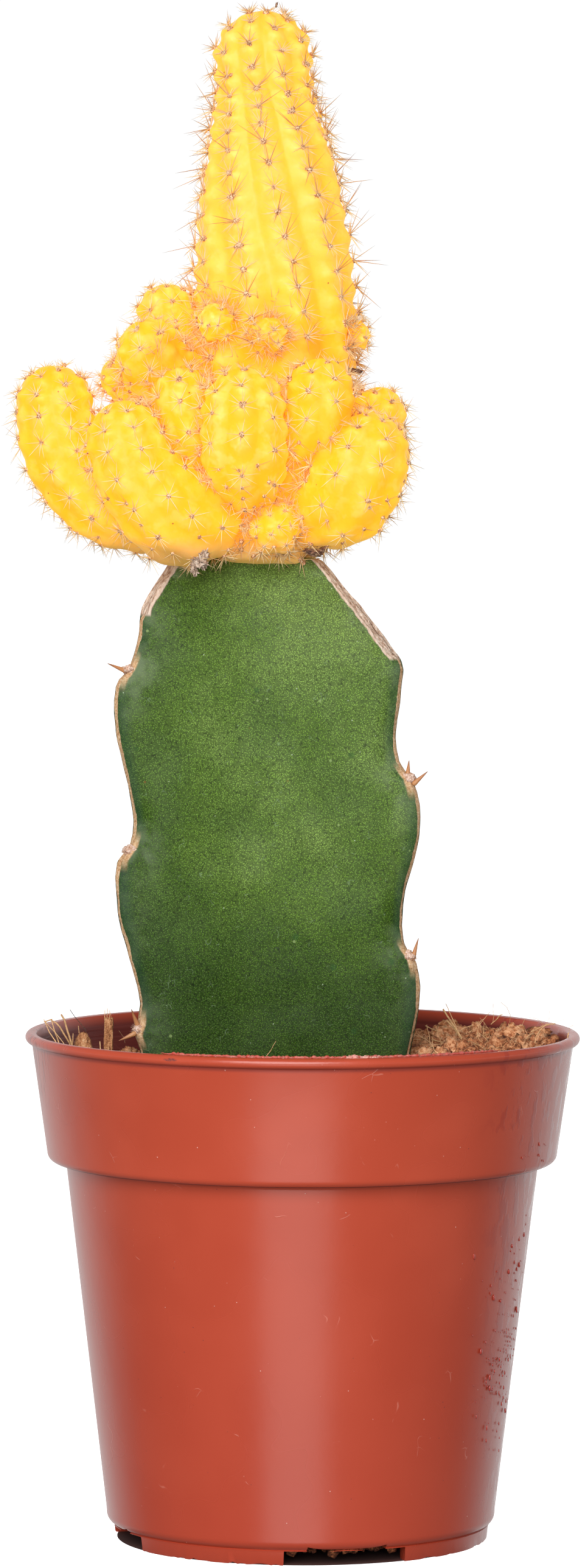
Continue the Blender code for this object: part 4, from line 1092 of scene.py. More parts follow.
def makeGreenSkin():
    paint = Paint("green_skin", IOR=1.40, Subsurface_Weight=0.04, Subsurface_Scale=0.001, Specular_IOR_Level=0.22)
    edge, nub, trimmed = paint.stored("edge"), paint.stored("nub"), paint.stored("trimmed")
    height, sideways = paint.axis("Z"), paint.axis("X")
    upper = height.step(128.0, 152.0)
    clouds, wide = paint.cloud(8.0, 4.0, 0.6), paint.cloud(22.0, 2.0)
    light = (clouds - 0.5) * 0.72 + (wide - 0.5) * 0.50 + height.step(72.0, 120.0) * 0.72 - 0.11
    # painted light and shade: lighter towards the upper right of the face, darker on the left
    light = light + sideways.step(-12.0, 14.0) * upper * 0.38 + (sideways.step(-26.0, -8.0) - 1.0) * 0.24
    colour = paint.ramp(light, [
        (0.0, (0.029, 0.077, 0.003)), (0.28, (0.054, 0.121, 0.007)),
        (0.56, (0.101, 0.192, 0.020)), (0.82, (0.176, 0.284, 0.056)),
    ])
    bloom = paint.cloud(11.0, 3.0, where=paint.place(shift=(9, 4, 2))).step(0.46, 0.62) * height.step(84.0, 112.0)
    colour = paint.mix(bloom * 0.20, colour, (0.110, 0.180, 0.055))
    grains = paint.marks(0.24, 0.06, 0.52)
    pits = paint.cells(0.33, (3, 3, 3)).step(0.45, 0.95)
    frost = paint.cloud(0.20, 2.0, 0.7).step(0.42, 0.62)
    colour = paint.mix(frost * 0.24, colour, (0.150, 0.220, 0.075))
    speckle = 0.58 + grains * (0.98 + paint.cloud(1.3, 2.0) * 0.5) - pits * 0.32
    colour = paint.scaled(colour, speckle)
    # painted shade: darker blue-green along the rib edges, where the faces roll away, less on the trimmed top
    rim = (1.0 - edge.step(0.5, 2.6)) * (1.0 - trimmed * 0.4)
    colour = paint.mix(rim * 0.55, colour, (0.018, 0.050, 0.028))
    dust = (1.0 - nub.step(2.0, 8.0)) * (0.22 + height.step(80.0, 110.0) * 0.3)
    dust = dust + (1.0 - edge.step(1.0, 6.0)) * (0.16 + upper * 0.4)
    dust = dust * paint.cloud(4.0, 3.0).step(0.38, 0.62)
    colour = paint.mix(dust.clamped() * 0.75, colour, (0.165, 0.215, 0.125))
    spots = paint.marks(7.5, 0.045, 0.10) * 0.6
    colour = paint.mix(spots, colour, (0.022, 0.075, 0.014))
    freckles = paint.marks(5.5, 0.035, 0.055, (1, 8, 3))
    colour = paint.mix(freckles * 0.7, colour, (0.24, 0.34, 0.12))
    rust = paint.marks(8.5, 0.028, 0.05, (6, 2, 7)) * paint.cloud(14.0).step(0.47, 0.55)
    colour = paint.mix(rust * 0.85, colour, (0.28, 0.055, 0.015))
    scratch = (1.0 - paint.threads(0.38, 0.5, 3.2).step(0.006, 0.03)) * paint.cloud(2.2, 3.0).step(0.60, 0.66)
    colour = paint.mix(scratch * 0.30, colour, (0.24, 0.34, 0.20))
    flecks = paint.marks(1.9, 0.03, 0.075, (2, 2, 5)) * paint.cloud(5.0).step(0.5, 0.6)
    colour = paint.mix(flecks * 0.8, colour, (0.45, 0.55, 0.38))
    ragged = edge + (paint.cloud(0.8, 3.0) - 0.5) * 0.35 + (paint.cloud(7.0, 2.0) - 0.5) * 0.45
    cork = 1.0 - ragged.step(0.13, 0.24)
    near = 1.0 - nub.step(1.2, 4.0)
    cork = cork.larger((1.0 - ragged.step(0.9, 1.3)) * near)
    grain = paint.cloud(0.35, 3.0)
    corkColour = paint.ramp(grain, [
        (0.25, (0.26, 0.125, 0.052)), (0.42, (0.52, 0.30, 0.15)),
        (0.60, (0.66, 0.45, 0.27)), (0.8, (0.78, 0.62, 0.47)),
    ])
    colour = paint.mix(cork, colour, corkColour)
    strand = paint.cloud(0.5, 3.0, where=paint.place((1.0, 1.0, 0.16)))
    barkColour = paint.ramp(strand, [
        (0.28, (0.24, 0.13, 0.085)), (0.40, (0.44, 0.29, 0.21)),
        (0.52, (0.62, 0.47, 0.37)), (0.68, (0.80, 0.68, 0.58)),
    ])
    lowerEdge = (1.0 - ragged.step(1.45, 1.62)) - (1.0 - ragged.step(1.05, 1.2))
    barkColour = paint.mix(lowerEdge.clamped() * 0.6, barkColour, (0.66, 0.52, 0.42))
    bark = (1.0 - (edge + (paint.cloud(1.6, 2.0) - 0.5) * 0.5).step(1.45, 1.65)) * trimmed.step(0.35, 0.65)
    colour = paint.mix(bark, colour, barkColour)
    rough = (0.50 + dust * 0.2 + cork.larger(bark) * 0.35 - grains * 0.06).clamped()
    relief = grains * 0.30 - spots * 0.1 + cork * (0.5 + grain * 1.2) + bark * strand * 3.0
    relief = relief + paint.cloud(2.6, 2.0) * 0.8
    return paint.finish(colour, rough, relief, 0.10)


def stockLevels():        # (height, share of the full section) from the middle of the foot to the middle of the top
    levels = [(26.0, 0.0), (26.0, 0.35), (26.0, 0.7), (26.0, 0.96), (26.6, 1.0)]
    levels += [(height, 1.0) for height in (34.0, 44.0, 54.0, 62.0, 68.0)]
    low, high = stock["fineLevels"]
    count = int((high - low) / stock["levelGap"])
    levels += [(low + (high - low) * n / count, 1.0) for n in range(count + 1)]
    levels += [(159.1, 0.99), (159.4, 0.965), (159.5, 0.9), (159.55, 0.75)]
    return levels + [(159.6, 0.5), (159.65, 0.25), (159.7, 0.0)]


def makeStock():
    levels = np.array(stockLevels())
    rings = len(levels) - 1
    bm = bmesh.new()
    bmesh.ops.create_uvsphere(bm, u_segments=stock["around"], v_segments=rings, radius=1.0)
    mesh = meshOf("rootstock_skin", bm)
    ball = np.array([vert.co for vert in mesh.vertices])
    ring = np.rint(np.arccos(np.clip(-ball[:, 2], -1, 1)) / math.pi * rings).astype(int)
    height, shrink = levels[ring].T
    along = (np.arctan2(ball[:, 1], ball[:, 0]) / tau) % 1.0 * 3.0
    face = np.minimum(along.astype(int), 2)
    share = along - face
    share = share - 0.13 * np.sin(tau * share)
    tips = np.array([ribTip(rib, height, even=True) for rib in range(3)])
    notches = np.array([ribReach(rib, height) - evenReach(rib, height) for rib in range(3)])
    rows = np.arange(len(height))
    start, end = tips[face, rows], tips[(face + 1) % 3, rows]
    chord = end - start
    width = np.linalg.norm(chord, axis=1)
    outward = np.cross(chord / width[:, None], [0, 0, 1.0])
    rise = np.sin(math.pi * share)
    bow = stock["plump"] * rise**0.4 - stock["hollow"] * rise**2
    points = start + chord * share[:, None] + outward * (bow * np.minimum(1, width / (stock["reach"] * 1.6)))[:, None]
    edge = np.minimum(share, 1 - share) * width
    rib = np.where(share < 0.5, face, (face + 1) % 3)
    trimmed = np.clip((height - np.array(stock["callusFrom"])[rib] + 1.0) / 2.0, 0, 1)
    turns = np.radians(np.array(stock["directions"]))[rib]
    away = np.stack([np.cos(turns), np.sin(turns), np.zeros_like(turns)], -1)
    middle = stockAxis(height)
    outReach = np.einsum("nk,nk->n", points - middle, away)
    limit = np.linalg.norm(tips[rib, rows] - middle, axis=1) - 0.55 * trimmed
    points = points - away * np.maximum(outReach - limit, 0)[:, None]
    points = points + away * (notches[rib, rows] * np.exp(-((edge / 3.6) ** 2)))[:, None]
    points = middle + (points - middle) * shrink[:, None]
    wobble = np.array([noise.noise(Vector(point) / 7.0) for point in points])
    ripple = np.array([noise.noise(Vector((point[0] / 1.4, point[1] / 1.4, point[2] / 5.0))) for point in points])
    plane = points - middle
    plane[:, 2] = 0
    plane /= np.maximum(np.linalg.norm(plane, axis=1), 1e-6)[:, None]
    nearEdge = np.clip(1 - edge / 1.6, 0, 1)
    push = 0.45 * wobble + nearEdge * ripple * (0.22 + 0.35 * trimmed)
    push = push + 0.22 * np.clip(1 - np.abs(edge - 1.25) / 0.4, 0, 1) * trimmed
    points = points + plane * (push * (shrink > 0.97))[:, None]
    mesh.vertices.foreach_set("co", (points * mm).ravel())
    nub = np.full(len(points), 99.0)
    for _, place in nubPlaces():
        nub = np.minimum(nub, np.linalg.norm(points - place, axis=1))
    store(mesh, "edge", edge + (shrink < 0.95) * 9.0)
    store(mesh, "nub", nub)
    store(mesh, "trimmed", trimmed)
    hold("rootstock_skin", mesh, makeGreenSkin(), ["rootstock"])


def makeCork():
    paint = Paint("woolly_cork", IOR=1.45)
    grain, patch = paint.cloud(0.28, 3.0), paint.cloud(0.9, 2.0)
    colour = paint.ramp(grain * 0.6 + patch * 0.4, [
        (0.30, (0.20, 0.09, 0.05)), (0.44, (0.50, 0.30, 0.20)),
        (0.55, (0.72, 0.52, 0.42)), (0.70, (0.88, 0.76, 0.68)),
    ])
    return paint.finish(colour, 0.9, grain + patch, 0.12)


def makeHorn():
    paint = Paint("brown_horn", IOR=1.5)
    reach = paint.stored("reach")
    colour = paint.ramp(reach + (paint.cloud(0.4, 2.0, where=paint.place((1, 1, 0.4))) - 0.5) * 0.25, [
        (0.0, (0.20, 0.07, 0.035)), (0.16, (0.56, 0.27, 0.11)),
        (0.6, (0.46, 0.19, 0.075)), (1.0, (0.13, 0.045, 0.02)),
    ])
    return paint.finish(colour, 0.42, paint.cloud(0.2, 2.0), 0.04)


def makeNubs(cork):
    rng = random.Random(stock["seed"])
    pieces, routes = [], []
    for number, (rib, place) in enumerate(nubPlaces()):
        outward = ribWay(rib)
        for k in range(stock["nubLumps"]):
            size = rng.uniform(0.45, 0.8) if k else 0.95
            shape = lump(3, 0.5, number * 7 + k, 1.8)
            drift = Vector((rng.gauss(0, 0.35), rng.gauss(0, 0.35), rng.gauss(0, 0.3))) if k else Vector()
            centre = Vector(place) - outward * 0.35 + drift + Vector((0, 0, 0.1))
            shape.transform(standing(centre, 0.0, (size, size, size * 0.75)))
            pieces.append(shape)
        for _ in range(stock["nubHairs"]):
            heading = outward * rng.uniform(0.3, 1.0) + jitter(rng, 0.6)
            start = Vector(place) + heading.normalized() * 0.6 - outward * 0.3
            routes.append(wander(start * mm, heading, rng.uniform(0.4, 1.0) * mm, 0.028 * mm, rng, knots=4, curl=1.2))
    pieces.append(hairs("nub_wool", routes))
    hold("rootstock_areoles", joined("rootstock_areoles", pieces), cork)


def makeThorns(horn):
    for number, (name, (rib, below, shift, length, rise, swing)) in enumerate(thorns.items()):
        height = np.array(stock["topAreoles"][rib] - below * stock["areoleGap"] + shift)
        outward = ribWay(rib)
        swung = Matrix.Rotation(math.radians(swing), 3, "Z") @ outward
        tilt = math.radians(rise)
        way = swung * math.cos(tilt) + Vector((0, 0, math.sin(tilt)))
        bm = bmesh.new()
        bmesh.ops.create_uvsphere(bm, u_segments=14, v_segments=22, radius=1.0)
        mesh = meshOf(name + "_horn", bm)
        for vert in mesh.vertices:
            share = math.acos(max(-1.0, min(1.0, -vert.co.z))) / math.pi
            level = math.hypot(vert.co.x, vert.co.y)
            radius = 0.47 * (1 - share) ** 0.85 * min(1.0, share * 9) + 0.02
            side = Vector((vert.co.x, vert.co.y, 0)) / max(level, 1e-6) * radius * (1.0 if level > 1e-5 else 0.0)
            vert.co = side + Vector((0.32 * share**2 * (1 if number % 2 else -1), 0, share * (length + 0.7) - 0.7))
        along = [max(0.0, min(1.0, (vert.co.z + 0.7) / (length + 0.7))) for vert in mesh.vertices]
        store(mesh, "reach", [math.acos(1 - 2 * share) / math.pi for share in along])
        spin = way.to_track_quat("Z", "Y").to_matrix().to_4x4()
        root = Vector(ribTip(rib, height)) + outward * 0.3
        mesh.transform(Matrix.Scale(mm, 4) @ Matrix.Translation(root) @ spin)
        hold(name + "_horn", mesh, horn, [name])


makeStock()
makeNubs(makeCork())
makeThorns(makeHorn())
print("rootstock and thorns")

mix = {
    "height": 76.2, "slope": 0.062, "lump": 0.9, "lumpSize": 9.0, "radius": 41.95, "mound": 2.2,
    "steps": 380, "rings": 84, "crumbs": 2300, "fibres": 260, "fibresWithin": (40.5, 41.4), "seed": 7,
    "wall": ((0.0, 3.9), (24.0, 3.9), (29.2, 3.9), (30.2, 5.2), (36.7, 60.0), (37.4, 61.6), (40.0, 63.2)),
    "washed": 90, "washedAt": (-76.0, -76.0, 14.0, 104.0, 194.0), "washedReach": (23.5, 27.4),
    "clods": (        # place, half sizes and turn of the larger lumps
        ((34.5, 8.0, 80.9), (2.4, 2.2, 2.0), 10), ((28.5, 11.0, 81.3), (0.8, 0.7, 1.9), 30),
        ((24.2, 12.0, 80.9), (1.9, 1.6, 1.5), 0), ((22.3, 11.0, 80.9), (1.3, 1.2, 1.3), 40),
        ((26.0, 13.0, 80.7), (1.5, 1.3, 1.4), 20), ((20.2, -2.0, 80.3), (1.5, 1.1, 0.55), 12),
        ((30.5, 4.0, 80.2), (1.8, 1.6, 1.1), 70), ((38.5, 6.0, 81.2), (1.6, 1.9, 1.3), 15),
        ((37.0, -6.0, 80.6), (1.7, 1.5, 0.9), 55), ((24.0, -1.0, 80.0), (1.8, 1.2, 0.9), 25),
        ((18.6, 8.0, 79.6), (1.4, 1.3, 1.3), 65), ((32.0, -8.0, 79.9), (1.4, 1.3, 0.9), 35),
        ((-28.6, 6.0, 77.8), (1.6, 1.4, 1.5), 20), ((-30.0, 10.0, 76.4), (1.4, 1.6, 1.6), 50),
        ((10.0, 30.0, 78.2), (2.2, 1.6, 1.5), 20), ((-4.0, 34.0, 76.6), (1.9, 1.5, 1.3), 70),
        ((-24.0, 25.0, 75.2), (2.2, 1.9, 1.6), 10), ((-32.0, -18.0, 74.6), (2.0, 1.7, 1.5), 40),
        ((6.0, -30.0, 76.6), (2.0, 1.7, 1.3), 60), ((-14.0, -34.0, 75.4), (2.1, 1.5, 1.4), 15),
        ((24.0, 28.0, 80.0), (2.3, 1.9, 1.7), 45), ((22.0, -28.0, 79.2), (2.0, 1.8, 1.3), 80),
    ),
}

chips = {
    "husk_chip_left": ((-35.6, 3.0, 78.2), (1.55, 1.4, 3.3), 15.0),
    "husk_chip_right": ((29.0, 16.0, 79.6), (3.4, 2.4, 2.2), 25.0),
    "husk_chip_right_back": ((17.0, 26.0, 78.6), (3.0, 2.2, 2.2), -30.0),
    "husk_chip_back": ((-14.0, 32.0, 75.8), (3.2, 2.2, 2.0), 60.0),
}

stick = {"centre": (-31.6, 2.0, 78.1), "side": 1.42, "height": 12.4}

rootFibres = (        # (places in mm, thickness) of the roots that stand along the wall on the left
    (((-36.6, 1.0, 76.0), (-37.5, 0.5, 80.2), (-38.2, 0.2, 82.4), (-38.7, 0.0, 84.2), (-39.2, -0.3, 85.1)), 0.20),
    (((-36.9, 2.0, 76.0), (-37.9, 1.6, 80.3), (-38.7, 1.2, 81.6), (-39.5, 1.0, 83.0), (-40.1, 1.1, 83.6),
      (-40.9, 1.4, 84.0)), 0.17),
    (((-38.4, 0.0, 76.5), (-39.7, 0.2, 80.8), (-40.3, 0.5, 82.3), (-40.8, 0.8, 84.1)), 0.13),
    (((-38.6, -1.5, 76.5), (-40.1, -1.0, 80.8), (-41.1, -0.5, 82.2), (-41.9, 0.0, 84.0)), 0.11),
    (((-37.2, -2.0, 77.0), (-38.8, -1.5, 80.6), (-40.2, -1.0, 82.3), (-41.2, -0.2, 83.2), (-42.1, 0.6, 84.2)), 0.08),
    (((-42.0, 0.4, 83.8), (-41.3, 0.8, 84.0), (-40.7, 1.2, 84.2)), 0.12),
    (((-33.0, -1.0, 76.8), (-32.8, -1.0, 79.6), (-32.9, -1.0, 80.8)), 0.14),
    (((-37.4, 1.0, 79.4), (-37.3, 1.0, 81.9)), 0.10),
    (((23.0, 9.0, 85.3), (23.6, 7.5, 84.4), (24.1, 6.0, 83.8), (25.4, 3.0, 82.0), (26.8, 0.0, 80.0)), 0.16),
    (((23.6, 7.0, 83.6), (24.8, 4.5, 82.5), (25.8, 2.0, 81.2), (26.9, -1.0, 79.7)), 0.14),
    (((20.1, 8.0, 82.7), (21.2, 6.0, 82.3), (22.4, 5.0, 82.0)), 0.11),
    (((37.1, 2.0, 82.3), (38.6, 1.0, 83.2), (40.2, 0.0, 83.8), (41.0, -0.5, 84.0)), 0.09),
    (((43.0, -5.0, 82.9), (42.7, -6.0, 81.8), (42.2, -7.0, 80.8)), 0.10),
    (((21.0, 2.0, 81.0), (24.0, -2.0, 80.7), (28.0, -4.0, 80.9), (33.0, -5.0, 81.0), (37.0, -7.0, 80.7)), 0.10),
    (((30.8, 8.0, 83.0), (31.6, 7.0, 83.8), (32.2, 6.5, 84.6), (32.6, 6.3, 84.8)), 0.09),
)

fineHairs = (        # dark or colourless hairs that rise above the wall
    (((-37.9, 3.0, 85.6), (-37.0, 3.0, 84.3), (-36.2, 3.0, 83.4), (-35.4, 3.0, 82.4), (-35.2, 3.0, 81.6)), 0.055, 1.0),
    (((31.0, 6.0, 83.4), (31.2, 6.0, 84.5), (31.0, 6.0, 85.6), (31.1, 6.0, 86.6)), 0.035, 0.2),
    (((33.8, 8.0, 82.8), (33.9, 7.0, 84.6), (33.3, 6.0, 86.0), (32.3, 6.0, 86.8)), 0.035, 0.2),
    (((39.0, 0.0, 83.2), (40.0, 0.0, 84.6), (40.1, 0.0, 86.0)), 0.025, 0.1),
    (((38.6, 1.0, 83.4), (41.0, 0.0, 84.2), (42.6, 0.0, 84.6)), 0.025, 0.1),
    (((43.2, -3.0, 82.8), (43.2, -3.0, 83.6), (43.9, -3.0, 84.0)), 0.03, 0.2),
    (((-32.2, 2.0, 84.0), (-32.2, 2.0, 85.6)), 0.05, 0.0), (((-31.8, 2.2, 84.0), (-31.8, 2.2, 85.9)), 0.045, 0.0),
    (((-31.4, 1.8, 84.0), (-31.5, 1.8, 85.7)), 0.05, 0.0), (((-31.1, 2.0, 84.0), (-31.3, 2.0, 85.4)), 0.035, 0.0),
    (((-31.9, 2.0, 84.0), (-32.0, 2.0, 86.4)), 0.02, 0.4),
    (((-36.3, 3.2, 81.0), (-36.5, 3.2, 82.9)), 0.07, 0.1),
    (((-28.9, 3.0, 80.2), (-29.2, 3.0, 81.2), (-29.9, 3.0, 82.2)), 0.03, 0.7),
    (((-8.0, -33.0, 78.4), (-7.4, -33.0, 80.4)), 0.05, 0.3), (((-8.3, -33.0, 78.4), (-8.0, -33.0, 80.0)), 0.04, 0.0),
)


def mixLevel(x, y):
    level = mix["height"] + mix["slope"] * x + mix["lump"] * noise.noise(Vector((x, y, 0)) / mix["lumpSize"])
    level += mix["mound"] * smoothStep(x, 9.0, 25.0) * (1.0 - smoothStep(y, 13.0, 24.0))
    level += 2.6 * math.exp(-((x + 28.5) ** 2 + (y - 7.0) ** 2) / 16.0)
    level += 1.25 * noise.noise(Vector((x, y, 3.0)) / 3.0) + 0.75 * noise.noise(Vector((x, y, 7.0)) / 1.3)
    return level + 0.22 * noise.noise(Vector((x, y, 9.0)) / 0.6)


def makeCoir():
    paint = Paint("coir_mix", IOR=1.45)
    tint = paint.stored("tint")
    shreds = paint.cloud(0.55, 4.0, 0.65, where=paint.place((1.0, 0.6, 1.0)))
    lumps = paint.cells(1.1)
    colour = paint.ramp(shreds + tint * 0.16 - 0.02, [
        (0.30, (0.075, 0.020, 0.009)), (0.41, (0.34, 0.100, 0.036)),
        (0.53, (0.66, 0.265, 0.110)), (0.68, (0.95, 0.520, 0.280)),
    ])
    colour = paint.mix(paint.cloud(6.0, 2.0).step(0.42, 0.66) * 0.25, colour, (0.38, 0.120, 0.045))
    # painted shade: darker in the gaps between the lumps
    colour = paint.mix(lumps.step(0.55, 0.95) * 0.45, colour, (0.085, 0.024, 0.011))
    return paint.finish(colour, 0.96, shreds * 1.4 + paint.cloud(0.18, 3.0) * 0.7, 0.28)


def makeFibrePaint():
    paint = Paint("coir_fibre", IOR=1.5)
    tint = paint.stored("tint")
    colour = paint.mix(tint, (0.88, 0.52, 0.25), (0.055, 0.030, 0.020))
    colour = paint.mix(paint.cloud(0.5, 2.0).step(0.4, 0.7) * 0.45, colour, (0.30, 0.155, 0.065))
    return paint.finish(colour, 0.6, paint.cloud(0.2, 2.0), 0.05)


def makeHuskPaint():
    paint = Paint("coconut_husk", IOR=1.45)
    grain = paint.cloud(0.40, 4.0, 0.6, where=paint.place((1.0, 1.0, 0.28)))
    pith = paint.cloud(0.22, 3.0)
    colour = paint.ramp(grain * 0.6 + pith * 0.4, [
        (0.34, (0.100, 0.034, 0.014)), (0.45, (0.36, 0.14, 0.055)),
        (0.55, (0.60, 0.28, 0.125)), (0.67, (0.86, 0.54, 0.31)),
    ])
    return paint.finish(colour, 0.95, grain + pith * 0.8, 0.22)


def makeMix(coir, fibrePaint):
    top = mix["height"]
    rings = [(mix["radius"] * (1 - n / mix["rings"]), top) for n in range(mix["rings"] + 1)]
    bm = turned([(radius * mm, height * mm) for radius, height in [*mix["wall"], *rings]], mix["steps"])
    for vert in bm.verts:
        if abs(vert.co.z - top * mm) < 0.01 * mm:
            vert.co.z = mixLevel(vert.co.x / mm, vert.co.y / mm) * mm
    mesh = meshOf("potting_mix_body", bm)
    store(mesh, "tint", [0.6 * noise.noise(vert.co / (1.4 * mm)) - 0.6 for vert in mesh.vertices])
    hold("potting_mix_body", mesh, coir, ["potting_mix"])

    rng = random.Random(mix["seed"])
    shapes = [lump(2, 0.85, seed * 3.7, 1.7) for seed in range(3)]
    batches = [([], []) for _ in shapes]
    for n in range(mix["crumbs"]):
        turn, reach = rng.random() * tau, mix["radius"] * math.sqrt(rng.random()) * 0.985
        x, y = reach * math.cos(turn), reach * math.sin(turn)
        if rng.random() > 0.45 + 0.55 * smoothStep(x, 5.0, 20.0):
            continue
        size = min(0.26 + rng.expovariate(2.1), 1.35)
        centre = Vector((x, y, mixLevel(x, y) + 0.25 * size)) * mm
        spin = Matrix.Rotation(rng.random() * tau, 4, jitter(rng).normalized())
        stretch = stretched([size * rng.uniform(*span) for span in ((0.7, 1.5), (0.6, 1.1), (0.5, 0.9))])
        places, tints = batches[n % 3]
        places.append(Matrix.Translation(centre) @ spin @ stretch)
        tints.append(1.5 * rng.random() - 0.5)
    crumbs = [scattered("crumbs", shape, places, {"tint": tints}) for shape, (places, tints) in zip(shapes, batches)]
    for number, (centre, half, turn) in enumerate(mix["clods"]):
        clod = lump(4, 0.42, number * 2.3, 1.5)
        for vert in clod.vertices:
            vert.co *= 1.0 + 0.30 * noise.noise(vert.co * 3.6) + 0.16 * noise.noise(vert.co * 9.0)
        clod.transform(standing(centre, turn, half))
        store(clod, "tint", [0.35 + 0.5 * rng.random()] * len(clod.vertices))
        crumbs.append(clod)
    washed = []        # bits washed out into the gaps of the pot's foot
    for _ in range(mix["washed"]):
        turn = math.radians(rng.choice(mix["washedAt"]) + rng.uniform(-21, 21))
        reach = rng.uniform(*mix["washedReach"])
        size = 0.2 + min(rng.expovariate(3.5), 0.6)
        centre = polar(turn, reach, rng.uniform(1.5, 2.3)) * mm
        spin = Matrix.Rotation(rng.random() * tau, 4, "Z")
        washed.append(Matrix.Translation(centre) @ spin @ stretched((size, size, size)))
    crumbs.append(scattered("washed", shapes[0], washed, {"tint": [0.3 * rng.random() - 0.9 for _ in washed]}))
    hold("potting_mix_crumbs", joined("potting_mix_crumbs", crumbs), coir)

    loose = []
    within, limit = mix["fibresWithin"]
    for n in range(mix["fibres"]):
        turn, reach = rng.random() * tau, within * math.sqrt(rng.random())
        x, y = reach * math.cos(turn), reach * math.sin(turn)
        if n % 3 == 0:        # more of them on the mound
            x, y = rng.uniform(17.0, 39.0), rng.uniform(-12.0, 13.0)
        heading = Vector((rng.gauss(0, 1), rng.gauss(0, 1), rng.uniform(0.0, 0.7)))
        route = wander(Vector((x, y, mixLevel(x, y) + 0.3)) * mm, heading, rng.uniform(2.0, 8.0) * mm,
                       rng.uniform(0.04, 0.13) * mm, rng, knots=9, curl=1.3, droop=1.1)
        inside = []
        for place, radius in route:
            reach = math.hypot(place.x, place.y)
            if reach > limit * mm:
                place = Vector((place.x * limit * mm / reach, place.y * limit * mm / reach, place.z))
            floorHere = (mixLevel(place.x / mm, place.y / mm) + 0.15) * mm
            inside.append((Vector((place.x, place.y, max(place.z, floorHere))), radius))
        loose.append(inside)
    for places, thickness in rootFibres:
        taper = [thickness * mm * (1.0 - 0.35 * k / len(places)) for k in range(len(places))]
        loose.append([(Vector(place) * mm, radius) for place, radius in zip(places, taper)])
    mesh = hairs("potting_mix_fibres", loose)
    store(mesh, "tint", [0.12 + 0.2 * noise.noise(vert.co / (3.0 * mm)) for vert in mesh.vertices])
    hairMeshes = [mesh]
    for places, thickness, dark in fineHairs:
        hair = hairs("hair", [[(Vector(place) * mm, thickness * mm) for place in places]])
        store(hair, "tint", [dark] * len(hair.vertices))
        hairMeshes.append(hair)
    hold("potting_mix_fibres", joined("potting_mix_fibres", hairMeshes), fibrePaint)


def makeHusk(husk):
    for seed, (name, (centre, half, turn)) in enumerate(chips.items()):
        chip = lump(5, 0.34, 20 + seed * 5.1, 1.2)
        for vert in chip.vertices:
            vert.co = Vector([math.copysign(abs(each) ** 0.8, each) for each in vert.co])
            vert.co *= 1.0 + 0.10 * noise.noise(vert.co * 6.61362) + 0.05 * noise.noise(vert.co * 12.0)
        chip.transform(standing(centre, turn, half))
        hold(name + "_husk", chip, husk, [name])
    bm = bmesh.new()
    bmesh.ops.create_cube(bm, size=1.0)
    bmesh.ops.subdivide_edges(bm, edges=bm.edges, cuts=15, use_grid_fill=True)
    size = Vector((stick["side"], stick["side"] * 0.9, stick["height"]))
    for vert in bm.verts:
        corner = math.hypot(vert.co.x, vert.co.y) / 0.5
        vert.co.x *= 1.0 - 0.12 * max(corner - 1.0, 0)
        vert.co.y *= 1.0 - 0.12 * max(corner - 1.0, 0)
        place = Vector((vert.co.x * size.x, vert.co.y * size.y, vert.co.z * size.z))
        ridge = noise.noise(Vector((place.x * 3.2, place.y * 3.2, place.z * 0.5)))
        place.x += 0.12 * ridge
        place.y += 0.12 * noise.noise(Vector((place.x * 3.0 + 9, place.y * 3.0, place.z * 0.6)))
        place.z += 0.30 * noise.noise(Vector((place.x * 4, place.y * 4, 5))) * (vert.co.z > 0.49)
        place.x += 0.05 * place.z / 6.0
        vert.co = (place + Vector(stick["centre"])) * mm
    hold("husk_stick_husk", meshOf("husk_stick_husk", bm), husk, ["husk_stick"])


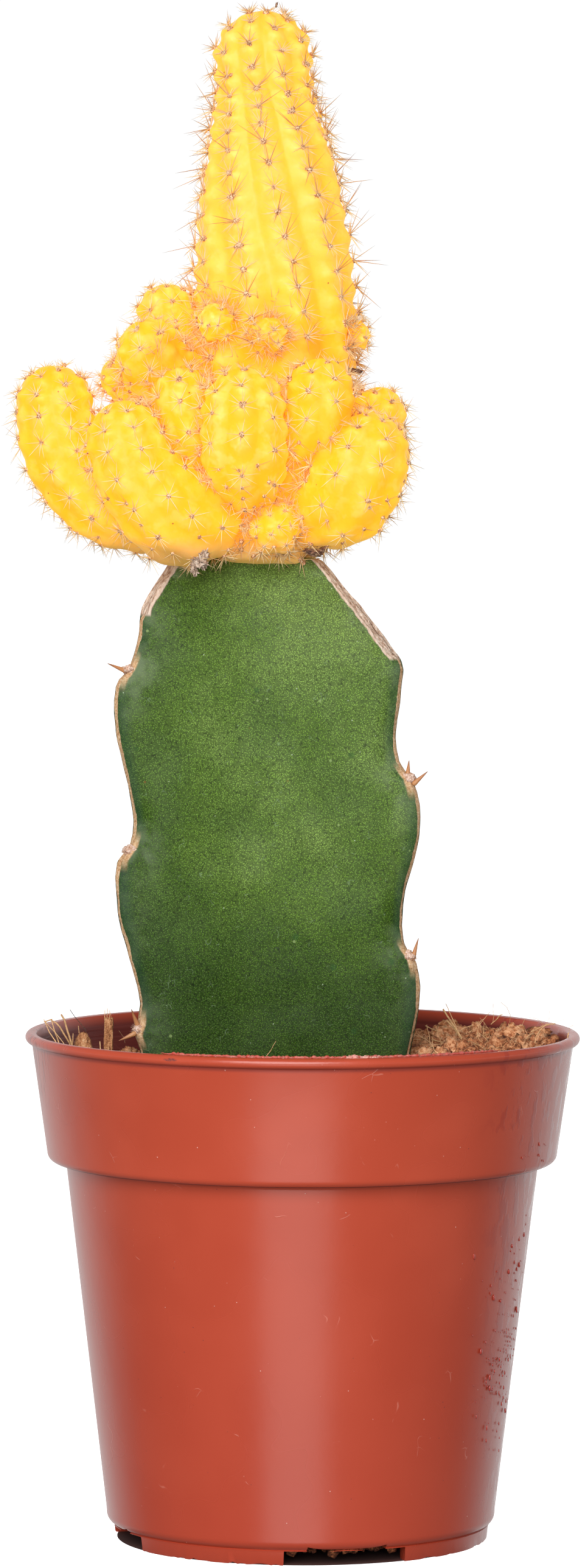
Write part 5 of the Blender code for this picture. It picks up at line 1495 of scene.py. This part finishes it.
driedBits = {        # place, half sizes and turn
    "petals": (
        ((-16.6, -18.3, 159.2), (1.0, 0.9, 0.85), 30), ((-17.6, -18.6, 157.9), (0.78, 0.55, 0.46), 75),
        ((-16.1, -18.1, 160.2), (0.55, 0.5, 0.95), 10), ((-17.2, -18.3, 159.3), (0.4, 0.35, 0.9), 50),
    ),
    "bracts": (
        ((1.4, -10.6, 160.6), (1.5, 0.9, 0.55), 12), ((2.9, -10.2, 161.0), (0.9, 0.7, 0.45), -30),
        ((7.9, -1.6, 189.6), (1.3, 0.7, 0.4), 8), ((-4.9, -1.0, 248.3), (0.18, 0.15, 0.42), 14),
    ),
}


def makeDriedBits():
    paint = Paint("dried_petals", IOR=1.45)
    folds = paint.cloud(0.5, 3.0, where=paint.place((1.0, 1.0, 0.5)))
    colour = paint.ramp(folds, [
        (0.28, (0.055, 0.030, 0.022)), (0.40, (0.26, 0.17, 0.12)),
        (0.53, (0.50, 0.37, 0.28)), (0.68, (0.82, 0.70, 0.58)),
    ])
    dry = paint.finish(colour, 0.85, folds, 0.12)
    pieces = []
    for number, (centre, half, turn) in enumerate(driedBits["petals"]):
        shape = lump(5, 0.5, 40 + number, 1.6)
        for vert in shape.vertices:
            vert.co *= 0.8 + 1.5 * abs(noise.noise(vert.co * 1.9)) ** 1.4 + 0.34 * noise.noise(vert.co * 6.0)
        shape.transform(standing(centre, turn, half, "Y"))
        pieces.append(shape)
    hold("dried_flower_petals", joined("dried_flower_petals", pieces), dry, ["dried_flower"])

    pieces = []
    for number, (centre, half, turn) in enumerate(driedBits["bracts"]):
        shape = lump(4, 0.5, 60 + number, 1.9)
        shape.transform(standing(centre, turn, half, "Y"))
        pieces.append(shape)
    brown = Paint("dried_bracts", IOR=1.45)
    stripes = brown.cloud(0.35, 3.0, where=brown.place((0.35, 1.0, 1.0)))
    colour = brown.ramp(stripes, [
        (0.36, (0.045, 0.020, 0.014)), (0.50, (0.20, 0.095, 0.055)), (0.66, (0.46, 0.30, 0.20)),
    ])
    hold("dried_bracts", joined("dried_bracts", pieces), brown.finish(colour, 0.8, stripes, 0.12))


makeMix(makeCoir(), makeFibrePaint())
makeHusk(makeHuskPaint())
makeDriedBits()
print("potting mix, husk and dried bits")

measures = {"packed": packedBounds, "finished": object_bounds()}
{name: [list(corner) for corner in corners] for name, corners in measures.items()}
